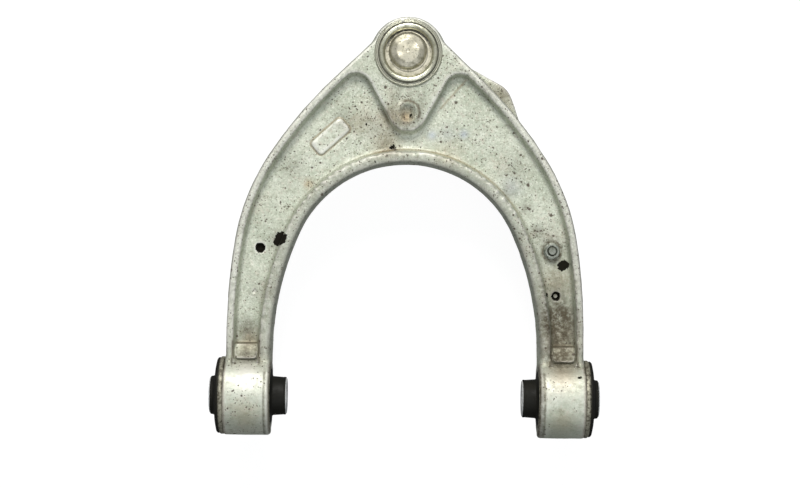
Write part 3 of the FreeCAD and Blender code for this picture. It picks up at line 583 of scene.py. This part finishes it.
SOOT = (
    (-93.2, 118.6, 3.8, 1.0), (-95.6, 115.6, 3.0, 0.8), (117.0, 99.8, 3.0, 1.0),
    (119.2, 100.6, 2.3, 0.95), (105.3, 77.9, 1.9, 0.9), (-11.8, 187.0, 2.1, 0.95),
    (-9.6, 187.6, 1.4, 0.7), (1.8, 210.2, 2.4, 0.75), (-73.7, 158.7, 1.7, 0.75),
    (53.9, 239.3, 1.8, 0.8), (129.4, 17.6, 1.5, 1.0), (-31.5, 204.0, 1.5, 0.8),
    (-23.7, 175.6, 1.0, 0.8), (-11.2, 175.7, 1.0, 0.8), (-126.0, 183.0, 1.4, 0.8),
    (104.0, 118.6, 2.6, 0.5),
)
OCHRE = (
    (-116.0, 42.0, 7.0, 0.4), (-118.0, 30.0, 12.0, 0.15), (117.0, 20.0, 11.0, 0.5),
    (-117.0, -15.0, 9.0, 0.25), (117.0, -15.0, 9.0, 0.3), (116.0, 46.0, 14.0, 0.35),
    (-1.0, 209.0, 5.0, 0.8), (-14.0, 208.0, 8.0, 0.35), (-16.0, 188.0, 10.0, 0.35),
    (-73.7, 158.7, 3.0, 0.7), (113.0, 88.0, 12.0, 0.3), (30.0, 183.0, 12.0, 0.2),
    (-37.0, 205.0, 8.0, 0.25),
)
CROWD = (
    (-31.0, 204.7, 8.0, 0.9), (-17.0, 199.7, 9.0, 0.9), (-15.0, 187.0, 8.0, 0.7),
    (-88.0, 170.0, 9.0, 0.9), (63.8, 193.0, 8.0, 0.6), (80.0, 173.0, 9.0, 0.7),
    (96.4, 152.6, 7.0, 0.6), (89.1, 142.8, 6.0, 0.9), (97.5, 125.7, 6.0, 0.9),
    (-96.0, 116.0, 8.0, 0.6), (-40.0, 186.0, 18.0, 0.3), (24.0, 222.0, 14.0, 0.3),
    (-14.0, 178.0, 10.0, 0.6), (40.0, 205.0, 16.0, 0.3), (-84.0, 135.0, 10.0, 0.4),
    (20.0, 240.0, 12.0, 0.8), (27.0, 250.0, 9.0, 0.7), (-47.0, 208.0, 9.0, 0.6),
    (-24.0, 232.0, 9.0, 0.5), (0.0, 212.6, 8.0, 0.8), (-20.0, 205.0, 12.0, 0.7),
)
# Painted highlights: where the key light falls on the eyes' barrels, and on the lit lower side of
# the cup's hollow.
PAINTED_HIGHLIGHTS = (
    (117.0, 17.0, 11.0, 0.55), (-117.0, 15.0, 12.0, 0.75), (-117.0, 22.0, 6.0, 0.3),
    (113.0, 4.0, 7.0, 0.25), (0.0, 205.0, 5.0, 0.2),
)
INK = (
    (18.3, 196.4, 3.2, 0.4), (42.2, 197.4, 3.0, 0.45), (30.0, 197.0, 6.0, 0.15),
    (78.0, 158.0, 7.0, 0.2),
)


def crown_foot(places):
    """1 in the crease at the inner rib's foot, round the top of the arch."""
    turn = bearing(places, 0, CROWN_Y)
    line = ridge(distance(places, 0, CROWN_Y), 98.0, LINE)
    return line * step(-turn, -118, -100) * step(turn, 22, 40)


def eye_ends(places):
    """1 along the edges of each eye's two ends, on the upper side."""
    side, low = np.abs(places[:, 0]), step(-places[:, 1], -28, -24)
    return step(places[:, 2], 0, 3) * sum(ridge(side, x, LINE) * low for x in (100.0, 133.6))


def ledge_seam(places):
    """1 in the creases round the ledge at the foot of each leg."""
    across = np.abs(np.abs(places[:, 0]) - LEDGE_X)
    foot = step(places[:, 1], 22, 25) * step(-places[:, 1], -44, -40) * step(places[:, 2], 3, 5)
    seam = ridge(across, LEDGE_HALF, LINE)
    end = ridge(places[:, 1], LEDGE_END, LINE) * (seam < 0.2) * (across < LEDGE_HALF)
    return foot * np.maximum(seam, end)


def cup_shaded_edge(places):
    """1 on the upper edge of the hollow below the ball joint, where the hollow's shade is painted.
    """
    away = bearing(places, *CUP)
    line = ridge(distance(places, *CUP), 8.8, LINE)
    return line * (step(away, -50, -20) * step(-away, -130, -100))


def rib_dirt_and_shade(places, facing):
    """How dark the ribs' tops are: a little dirt all over, and painted shade most at the opening's
    edge, on the side that faces away from the light.
    """
    gap = opening_gap(places, facing)
    dirt = 0.07 + 0.10 * step(-gap, -10.5, -9.5) + 0.16 * step(-gap, -6.5, -2)
    return step(places[:, 2], 8, 11) * step(places[:, 1], 24, 34) * dirt


def end_dirt(places):
    """The dirt on the eyes' machined inboard ends, most of it on the right."""
    band = step(-np.abs(places[:, 0]), -103.8, -102.6) * barrel(places)
    return band * (0.12 + 0.38 * (places[:, 0] > 0))


def hole_shade(places):
    """The walls of the spare hole and of the nib's hole, painted black as the shade inside them."""
    spare = distance(places, *SPARE_HOLE) < 3.75
    nib = distance(places, *NIB) < 3.35
    return 1.0 * (spare | nib)


def stain(mesh):
    """Wear, dirt, stains, painted shade and painted highlights, as numbers on the vertices for the
    material.
    """
    places, facing = points_of(mesh), normals_of(mesh)
    proud = np.einsum("ij,ij->i", places - relaxed(mesh, places, 14), facing)
    top = step(facing[:, 2], 0.05, 0.4) * step(places[:, 2], -2, 0)
    border = top * ridge(plate_edge(places), 0.7, 0.6) * step(-places[:, 2], -6.5, -5.5)
    scar = top * near_line(places, *SCAR, 0.7)
    mark = top * (distance(places, *ROUND_MARK) < 1.7)
    lug = step(-places[:, 2], 3, 5) * near(places, ((*LUG, 15.0, 1.0),))
    nut = top * ridge(distance(places, *NUT), 6.9, 1.0)
    # The cup's upper edge is painted shade.
    cup_shade = top * cup_shaded_edge(places)
    ends = eye_ends(places)
    outside_cup = 1 - (distance(places, *CUP) < 10)
    stains = {
        # Lighter on proud edges, where the forging is worn, with the painted highlights added on
        # top.
        "wear_and_highlight": 0.75 * step(proud, 0.06, 0.50) * outside_cup + 0.7 * mark
                + top * near(places, PAINTED_HIGHLIGHTS),
        # Painted shade: darker in crevices, along the raised plate's border, in the ledge's creases
        # and on the cup's upper edge.
        "corner": 0.28 * step(-proud, 0.10, 0.65) + 0.35 * border + 0.8 * ledge_seam(places)
                  + 0.8 * cup_shade,
        # Dirt, with painted shade on the cup's upper edge and along the ribs' tops at the opening;
        # also a dark ring round the nut's foot and dark lines along the eyes' ends.
        "dirt_and_shade": top * near(places, GRIME) + 0.55 * ends + 0.35 * scar + 0.6 * lug + 1.1 * nut
                 + top * rib_dirt_and_shade(places, facing) + 0.5 * cup_shade + 0.8 * end_line(places)
                 + end_dirt(places),
        # Dark spots, and the walls of the spare hole and the nib's hole painted black as shade.
        "soot_and_shade": top * near(places, SOOT) + step(places[:, 2], 2, 4) * near(places, SOOT[:4])
                + hole_shade(places),
        "ochre": top * (near(places, OCHRE) + 0.42 * crown_foot(places) + 0.5 * border)
                 + 0.3 * ends + 0.4 * scar + 0.2 * lug,
        "crowd": top * near(places, CROWD) + 0.9 * lug,
        "ink": top * near(places, INK),
        "smooth": barrel(places),
    }
    for name, values in stains.items():
        attribute = mesh.attributes.new(name, "FLOAT", "POINT")
        attribute.data.foreach_set("value", np.clip(values, 0, 1).astype(np.float32))


# ---------------------------------------------------------------- turned parts

def rounded(corners, closed):
    """The corners (radius, height) as points; a third number rounds that corner."""
    points = []
    for index, corner in enumerate(corners):
        here = np.array(corner[:2], float)
        inner = closed or 0 < index < len(corners) - 1
        if len(corner) == 2 or not inner:
            points.append(here)
            continue
        before = np.array(corners[index - 1][:2], float) - here
        after = np.array(corners[(index + 1) % len(corners)][:2], float) - here
        a, b = np.linalg.norm(before), np.linalg.norm(after)
        before, after = before / a, after / b
        half = math.acos(np.clip(before @ after, -1, 1)) / 2
        if half > 1.55:
            points.append(here)
            continue
        cut = min(corner[2] / math.tan(half), 0.48 * a, 0.48 * b)
        first, last = here + before * cut, here + after * cut
        for t in np.linspace(0, 1, 6):
            points.append((1 - t) ** 2 * first + 2 * t * (1 - t) * here + t * t * last)
    return np.array(points)


def divided(points, closed, length):
    """The points with more between them, so that none are further apart than length."""
    following = np.roll(points, -1, axis=0) if closed else points[1:]
    made = []
    for start, end in zip(points, following):
        parts = max(1, math.ceil(np.linalg.norm(end - start) / length))
        made += [start + (end - start) * part / parts for part in range(parts)]
    if not closed:
        made.append(points[-1])
    return np.array(made)


def lathe(name, corners, closed=True, side=0, steps=144, shape=None, gap=None, fine=None):
    """A turned mesh about the ball joint's axis, or about the pivot axis where side is 1 or -1:
    then the heights run outboard from the middle of that side's bush. shape moves the points,
    gap is (middle, half width) in degrees, and fine is the longest step along the corners."""
    profile = rounded(corners, closed)
    if fine:
        profile = divided(profile, closed, fine)
    if gap:
        angles = np.radians(np.linspace(gap[0] + gap[1], gap[0] + 360 - gap[1], steps))
    else:
        angles = np.linspace(0, 2 * math.pi, steps, endpoint=False)
    radius = np.repeat(profile[:, :1], steps, axis=1)
    height = np.repeat(profile[:, 1:], steps, axis=1)
    if shape:
        radius, height = shape(radius, height, angles[None, :])
    u, v = radius * np.cos(angles), radius * np.sin(angles)
    if side:
        places = np.stack((side * (EYE_X + height), u, v), axis=-1)
    else:
        places = np.stack((u, JOINT_Y + v, height), axis=-1)

    form = bmesh.new()
    rows = []
    for row, middle in zip(places, profile[:, 0]):
        if middle < 1e-6:
            rows.append([form.verts.new(row[0] * MM)] * steps)
        else:
            rows.append([form.verts.new(place * MM) for place in row])
    for index in range(len(rows) if closed else len(rows) - 1):
        low, high = rows[index], rows[(index + 1) % len(rows)]
        for turn in range(steps - 1 if gap else steps):
            after = (turn + 1) % steps
            face = []
            for vertex in (low[turn], low[after], high[after], high[turn]):
                if vertex not in face:
                    face.append(vertex)
            if len(face) > 2:
                form.faces.new(face)
    if gap:
        for turn in (0, steps - 1):
            form.faces.new([row[turn] for row in rows])
    return solid(form, name)


def turn_piece(name, body, slot, node, corners, **how):
    """A piece that lathe makes, on a body, in place of a node."""
    return put(name, lathe(name, corners, **how), body, slot, node)


def hexagon(flats):
    """A shape for lathe that cuts six flats, this far from the axis."""
    def shape(radius, height, angles):
        corner = np.mod(angles, math.pi / 3) - math.pi / 6
        return np.minimum(radius, flats / np.cos(corner)), height
    return shape


def thread(outer, pitch, depth, start, end):
    """A shape for lathe that cuts a helical thread between two heights."""
    def shape(radius, height, angles):
        turn = np.mod(height / pitch - angles / (2 * math.pi), 1)
        groove = np.clip(1.25 - 2.5 * np.abs(turn - 0.5), 0, 1)
        fade = step(height, start, start + pitch) * step(-height, -end, -end + pitch)
        cut = np.abs(radius - outer) < 0.35
        return radius - depth * groove * fade * cut, height
    return shape


CAP_SHIFT = (-0.4, 1.3)


def make_joint():
    """The steel cartridge with its rolled rim, the split ring and the pressed cap, whose dome
    sits slightly off the middle."""
    turn_piece("joint_housing", "arm", "zinc_plated_steel", "ball_joint_housing", [
        (13.3, -9.0, 0.5), (17.2, -17.0, 0.4), (19.6, -17.0, 0.5), (19.6, -15.6, 0.4),
        (18.6, -15.1, 0.3), (18.6, -11.5, 0.4), (24.5, -11.5, 0.7), (24.5, -9.0, 0.7),
        (22.5, -9.0, 0.3), (22.5, 14.0, 0.1), (21.7, 14.1, 0.1), (21.7, 16.2, 0.3),
        (22.3, 17.0, 0.4), (21.9, 18.5, 0.9), (20.2, 19.0, 1.0), (18.8, 18.6, 0.9),
        (17.4, 16.6, 0.8), (17.3, 15.6, 0.2), (20.2, 15.45), (20.2, 13.9), (18.3, 13.8),
        (18.3, -9.0, 0.4)], fine=1.5)
    turn_piece("joint_snap_ring", "arm", "snap_ring_steel", "housing_snap_ring", [
        (22.0, 14.15, 0.2), (25.0, 14.15, 0.3), (25.3, 15.0, 0.5), (24.6, 15.9, 0.4),
        (23.7, 15.75, 0.25), (23.3, 16.25, 0.3), (22.4, 16.25, 0.4)],
        gap=(101, 3.0), steps=160)

    def dented(radius, height, angles):
        shoulder = step(radius, 3, 9) * step(-radius, -13.6, -11)
        dent = 0.26 * np.cos(3 * angles + 0.8) + 0.2 * np.cos(5 * angles - 0.6)
        return radius, height + shoulder * (height > 15.9) * dent
    cap = lathe("joint_cap", [
        (0, 20.25), (0.8, 20.28, 0.4), (1.5, 20.60, 0.6), (8.2, 20.4, 3.0), (12.4, 18.4, 2.6),
        (13.7, 16.3, 1.0), (14.2, 15.4, 0.6), (20.1, 15.4, 0.1), (20.1, 13.9, 0.1),
        (13.2, 13.9, 0.6), (11.4, 17.2, 1.5), (7.6, 18.9, 2.0), (0, 19.2)],
        closed=False, shape=dented, fine=1.0, steps=120)
    places = points_of(cap)
    reach = distance(places, 0, JOINT_Y)
    places[:, :2] += step(-reach, -17.2, -14.4)[:, None] * CAP_SHIFT
    move_points(cap, places)
    put("joint_cap", cap, "arm", "pressed_steel", "ball_joint_cap")


def make_stud():
    """Ball, neck, boot seat, taper, M12 thread and hexagon socket."""
    cut_thread = thread(outer=6.0, pitch=1.5, depth=0.9, start=-66.6, end=-52.6)
    cut_socket = hexagon(2.5)
    radius_of_ball, middle_of_ball = 15, -1
    first, last = math.asin(7.5 / radius_of_ball), math.pi - math.asin(5 / radius_of_ball)

    def shape(radius, height, angles):
        radius, height = cut_thread(radius, height, angles)
        socket = (radius > 2.4) & (radius < 3.0) & (height < -61.9)
        return np.where(socket, cut_socket(radius, height, angles)[0], radius), height
    ball = [(radius_of_ball * math.sin(a), middle_of_ball - radius_of_ball * math.cos(a))
            for a in np.linspace(first, last, 40)]
    turn_piece("stud", "stud", "stud_steel", "ball_stud", [
        (0, -62.4), (2.9, -62.0), (2.9, -66.7), (3.4, -67.0), (5.1, -67.0), (6.0, -66.1),
        (6.0, -53.0), (5.1, -52.4, 0.2), (5.1, -51.0, 0.3), (7.0, -51.0, 0.3), (8.0, -31.0, 0.2),
        (8.2, -30.6, 0.2), (8.2, -23.0, 0.4), (7.5, -21.8, 0.5)] + ball + [(0, ball[-1][1])],
        closed=False, shape=shape, fine=0.19, steps=96)


BOOT_SPLIT = -20.35


def make_boot():
    """The bellows in two halves, and the wire rings that clamp it."""
    upper = [(18.65, -11.6), (20.8, -11.6, 0.6), (20.8, -12.5, 0.2), (20.75, -14.3, 0.2),
             (20.9, -15.3, 0.4), (22.0, -16.4, 0.9), (22.0, -17.8, 0.9), (18.8, BOOT_SPLIT)]
    inner_upper = [(17.1, BOOT_SPLIT), (20.5, -17.9, 0.8), (19.75, -16.6, 0.6),
                   (19.75, -15.6, 0.2), (18.65, -15.05, 0.2)]
    lower = [(18.8, BOOT_SPLIT), (18.6, -21.2, 0.8), (19.4, -22.8, 1.0), (16.4, -25.9, 1.5),
             (11.6, -26.7, 0.6), (11.3, -27.3, 0.2), (11.3, -28.7, 0.2), (11.0, -29.4, 0.4),
             (8.25, -29.4)]
    inner_lower = [(8.25, -24.4, 0.4), (10.6, -24.6, 0.6), (15.4, -24.3, 1.2),
                   (17.8, -22.6, 0.8), (17.0, -21.2, 0.8), (17.1, BOOT_SPLIT)]
    for name, corners, bodies, start, end in (
            ("boot_upper", upper + inner_upper, ("arm", "boot"), -15.0, -20.0),
            ("boot_lower", lower + inner_lower, ("boot", "boot_end"), -20.7, -24.6)):
        piece = turn_piece(name, None, "boot_rubber", "dust_boot", corners, fine=0.8, steps=128)
        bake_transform(piece)
    for name, body, radius, height, node in (
            ("boot_clamp_upper", "arm", 21.6, -13.4, "boot_upper_ring"),
            ("boot_clamp_lower", "boot_end", 11.3, -28.0, "boot_lower_ring")):
        put(name, wire_ring(name, radius, height), body, "spring_steel", node)


def wire_ring(name, radius, height):
    """Two turns of round wire."""
    wire, turns, rise = 0.36, 1.97, 0.76
    steps, around = 260, 12
    form = bmesh.new()
    rows = []
    for index in range(steps):
        part = index / (steps - 1)
        angle = 2 * math.pi * turns * part
        z = height + (part - 0.5) * rise
        out = np.array((math.cos(angle), math.sin(angle), 0))
        row = []
        for corner in range(around):
            turn = 2 * math.pi * corner / around
            place = np.array((0, JOINT_Y, z)) + out * (radius + wire * math.cos(turn))
            place[2] += wire * math.sin(turn)
            row.append(form.verts.new(place * MM))
        rows.append(row)
    for low, high in zip(rows, rows[1:]):
        for corner in range(around):
            after = (corner + 1) % around
            form.faces.new((low[corner], low[after], high[after], high[corner]))
    form.faces.new(rows[0])
    form.faces.new(rows[-1])
    return solid(form, name)


def make_bushes():
    """Flanged outer sleeve, rubber and inner sleeve of each bush."""
    for word, side in (("left", -1), ("right", 1)):
        turn_piece(word + "_sleeve", "arm", "sleeve_aluminium", word + "_bush_outer_sleeve", [
            (20.3, -EYE_HALF, 0.3), (21.6, -EYE_HALF, 0.4), (22.0, 0.9 - EYE_HALF, 0.3),
            (22.0, EYE_HALF), (28.8, EYE_HALF, 0.5), (29.0, EYE_HALF + 0.6, 0.5),
            (29.0, FLANGE - 1.1, 0.5), (28.1, FLANGE, 0.8), (20.3, FLANGE)],
            side=side)
        turn_piece(word + "_rubber", "arm", "bush_rubber", word + "_bush_rubber", [
            (13.65, CORE_INBOARD + 0.6), (14.0, CORE_INBOARD + 0.6, 0.2),
            (14.15, CORE_INBOARD + 1.8, 0.3), (14.0, CORE_INBOARD + 2.2, 0.3),
            (14.6, -EYE_HALF - 1.8, 1.0), (15.8, -EYE_HALF - 0.65, 0.8),
            (19.2, -EYE_HALF - 0.6, 0.6), (20.2, -EYE_HALF - 0.1, 0.4),
            (20.25, 1.8 - EYE_HALF), (20.25, FLANGE), (28.2, FLANGE, 0.3),
            (28.4, FLANGE + 0.9, 0.8), (27.6, COVER - 1.6, 1.2), (24.8, COVER - 1.0, 0.4),
            (24.4, COVER - 1.3, 0.3), (23.9, COVER - 0.8, 0.4), (17.2, COVER, 0.8),
            (15.2, COVER + 0.3, 0.6), (14.5, COVER + 1.5, 0.5),
            (14.2, CORE_OUTBOARD - 0.8, 0.3), (13.65, CORE_OUTBOARD - 0.8)],
            side=side, fine=2.5)
        inner_sleeve = word + "_inner_sleeve"
        node = word + "_bush_inner_sleeve"
        turn_piece(word + "_core", inner_sleeve, "core_aluminium", node, [
            (6.9, CORE_INBOARD, 0.2), (10.2, CORE_INBOARD, 0.1), (10.4, CORE_INBOARD + 0.2, 0.1),
            (10.6, CORE_INBOARD, 0.1), (12.9, CORE_INBOARD, 0.3), (13.6, CORE_INBOARD + 0.8, 0.3),
            (13.6, CORE_OUTBOARD - 0.8, 0.3), (12.9, CORE_OUTBOARD, 0.3),
            (10.6, CORE_OUTBOARD, 0.1), (10.4, CORE_OUTBOARD - 0.2, 0.1),
            (10.2, CORE_OUTBOARD, 0.1), (6.9, CORE_OUTBOARD, 0.2),
            (6.1, CORE_OUTBOARD - 0.8, 0.2), (6.1, CORE_INBOARD + 0.8, 0.2)],
            side=side, fine=4)


def make_fasteners():
    """The bracket's nut and bolt. They are turned about the ball joint's axis, then moved."""
    place = Vector((NUT[0], NUT[1] - JOINT_Y, 0)) * MM
    cut_flats = hexagon(5.0)
    cut_thread = thread(outer=3.0, pitch=1.0, depth=0.5, start=-2.0, end=11.4)

    def nut_shape(radius, height, angles):
        flats = cut_flats(radius, height, angles + 0.1)[0]
        return np.where((height > 4.9) & (radius > 4), flats, radius), height
    nut = lathe("bracket_nut", [
        (3.1, 4.0, 0.1), (6.1, 4.0, 0.1), (6.2, 4.4, 0.2), (5.8, 4.8, 0.1), (5.78, 5.0),
        (5.78, 9.2), (5.1, 10.0, 0.1), (3.9, 10.0, 0.2), (3.1, 9.2, 0.1)],
        shape=nut_shape, fine=0.5)

    def bolt_shape(radius, height, angles):
        radius, height = cut_thread(radius, height, angles)
        flats = cut_flats(radius, height, angles)[0]
        return np.where((height < -7.4) & (radius > 4), flats, radius), height
    bolt = lathe("bracket_bolt", [
        (0, -10.5), (3.6, -10.5, 0.2), (4.1, -11.0, 0.2), (4.9, -11.0, 0.3), (5.8, -10.3, 0.2),
        (5.8, -7.4), (6.2, -7.3, 0.2), (7.0, -6.8, 0.3), (7.0, -6.0, 0.3), (3.0, -6.0, 0.2),
        (3.0, 11.0), (2.4, 11.6, 0.1), (0, 11.6)],
        closed=False, shape=bolt_shape, fine=0.15, steps=96)
    for name, mesh in (("bracket_nut", nut), ("bracket_bolt", bolt)):
        for vertex in mesh.vertices:
            vertex.co += place
        put(name + "_detail", mesh, "arm", "fastener_steel", name)


def make_bracket():
    """The pressed bracket, with the rolled edges that pressing leaves."""
    mesh = nodes["sensor_bracket"].data.copy()
    piece = put("bracket", mesh, "arm", "bracket_steel", "sensor_bracket")
    bevel = piece.modifiers.new("edges", "BEVEL")
    bevel.width = 0.35 * MM
    bevel.segments = 3
    bevel.angle_limit = math.radians(40)
    soften(mesh)


def make_hole_shades():
    """Dark fillings that paint the shade in the spare hole and in the gap round the nib in its
    hole.
    """
    for name, (x, y), corners, closed in (
            ("hole_shade_fill", SPARE_HOLE, [(0, 0.9), (1.7, 0.5, 0.6), (3.4, 0.9, 0.4),
                                       (3.4, -0.8, 0.3), (0, -0.9)], False),
            ("nib_gap_shade", NIB, [(1.5, -1.2, 0.3), (2.7, -0.2, 0.4), (3.05, -0.6, 0.2),
                               (3.05, -3.9), (1.5, -3.9)], True)):
        mesh = lathe(name, corners, closed=closed, fine=0.4, steps=60)
        places = points_of(mesh)
        places[:, 2] += 0.2 * waves(places, 2.5, 3) * (places[:, 2] > -0.5)
        move_points(mesh, places + (x, y - JOINT_Y, 0))
        soot_and_shade = mesh.attributes.new("soot_and_shade", "FLOAT", "POINT")
        soot_and_shade.data.foreach_set("value", [1.0] * len(mesh.vertices))
        put(name, mesh, "arm", "forged_aluminium")


def dress_hidden_nodes():
    """The parts that no face of the arm shows keep their CAD shape."""
    for name, slot in (("bearing_shell", "bearing_plastic"), ("preload_spring", "spring_steel")):
        mesh = nodes[name].data
        mesh.materials.clear()
        mesh.materials.append(MATERIALS[slot])


# ---------------------------------------------------------------- stage, light and camera

def make_stage():
    """A floor that glows like a light table, so that it stays plain and pale."""
    half, height = 3.0, cad_box[0].z - 0.0005
    mesh = bpy.data.meshes.new("floor")
    mesh.from_pydata([(-half, -half, height), (half, -half, height), (half, half, height),
                      (-half, half, height)], [], [(0, 1, 2, 3)])
    material = bpy.data.materials.new("floor")
    material.use_nodes = True
    paint = material.node_tree.nodes["Principled BSDF"]
    paint.inputs["Base Color"].default_value = (0.14, 0.14, 0.14, 1)
    paint.inputs["Roughness"].default_value = 0.9
    paint.inputs["Emission Color"].default_value = (1, 1, 1, 1)
    paint.inputs["Emission Strength"].default_value = 0.92
    mesh.materials.append(material)
    floor = bpy.data.objects.new("floor", mesh)
    bpy.context.scene.collection.objects.link(floor)
    floor.visible_diffuse = False
    floor.visible_glossy = False


def add_light(name, place, size, power, colour):
    lamp = bpy.data.lights.new(name, "AREA")
    lamp.size = size
    lamp.energy = power
    lamp.color = colour
    item = bpy.data.objects.new(name, lamp)
    item.location = place
    way = Vector((0.0, 0.12, 0.0)) - Vector(place)
    item.rotation_euler = way.to_track_quat("-Z", "Y").to_euler()
    bpy.context.scene.collection.objects.link(item)


def make_lights():
    """A soft sky, brightest overhead and towards the apex, and a key light from the apex side."""
    world = bpy.data.worlds.new("studio")
    world.use_nodes = True
    tree = world.node_tree
    background = tree.nodes["Background"]
    parts = tree.nodes.new("ShaderNodeSeparateXYZ")
    tree.links.new(tree.nodes.new("ShaderNodeTexCoord").outputs["Generated"], parts.inputs[0])

    def ramp(axis, *numbers):
        """A number that changes along one axis of the sky."""
        made = tree.nodes.new("ShaderNodeMapRange")
        for name, number in zip(RANGE, numbers):
            made.inputs[name].default_value = number
        tree.links.new(parts.outputs[axis], made.inputs["Value"])
        return made.outputs["Result"]
    strength = tree.nodes.new("ShaderNodeMath")
    strength.operation = "MULTIPLY"
    tree.links.new(ramp("Z", -0.25, 0.85, 0.17, 0.42), strength.inputs[0])
    tree.links.new(ramp("Y", -1.0, 1.0, 0.65, 1.35), strength.inputs[1])
    tree.links.new(strength.outputs[0], background.inputs["Strength"])
    background.inputs["Color"].default_value = (0.97, 0.99, 1.0, 1)
    bpy.context.scene.world = world
    add_light("key", (-0.16, 1.70, 1.68), 0.9, 46, (1.0, 0.975, 0.93))
    add_light("fill", (0.30, -0.60, 1.6), 1.2, 8, (0.94, 0.97, 1.0))


def make_camera():
    camera = bpy.data.objects.new("camera", bpy.data.cameras.new("camera"))
    camera.location = CAMERA_PLACE
    camera.rotation_euler = (0, 0, CAMERA_TURN)
    camera.data.lens = CAMERA_LENS
    camera.data.sensor_width = 36
    camera.data.clip_start = 0.01
    bpy.context.scene.collection.objects.link(camera)
    bpy.context.scene.camera = camera


make_forging()
make_joint()
make_stud()
make_boot()
make_bushes()
make_fasteners()
make_bracket()
make_hole_shades()
dress_hidden_nodes()
make_stage()
make_lights()
make_camera()
bpy.context.scene.view_settings.view_transform = "Standard"
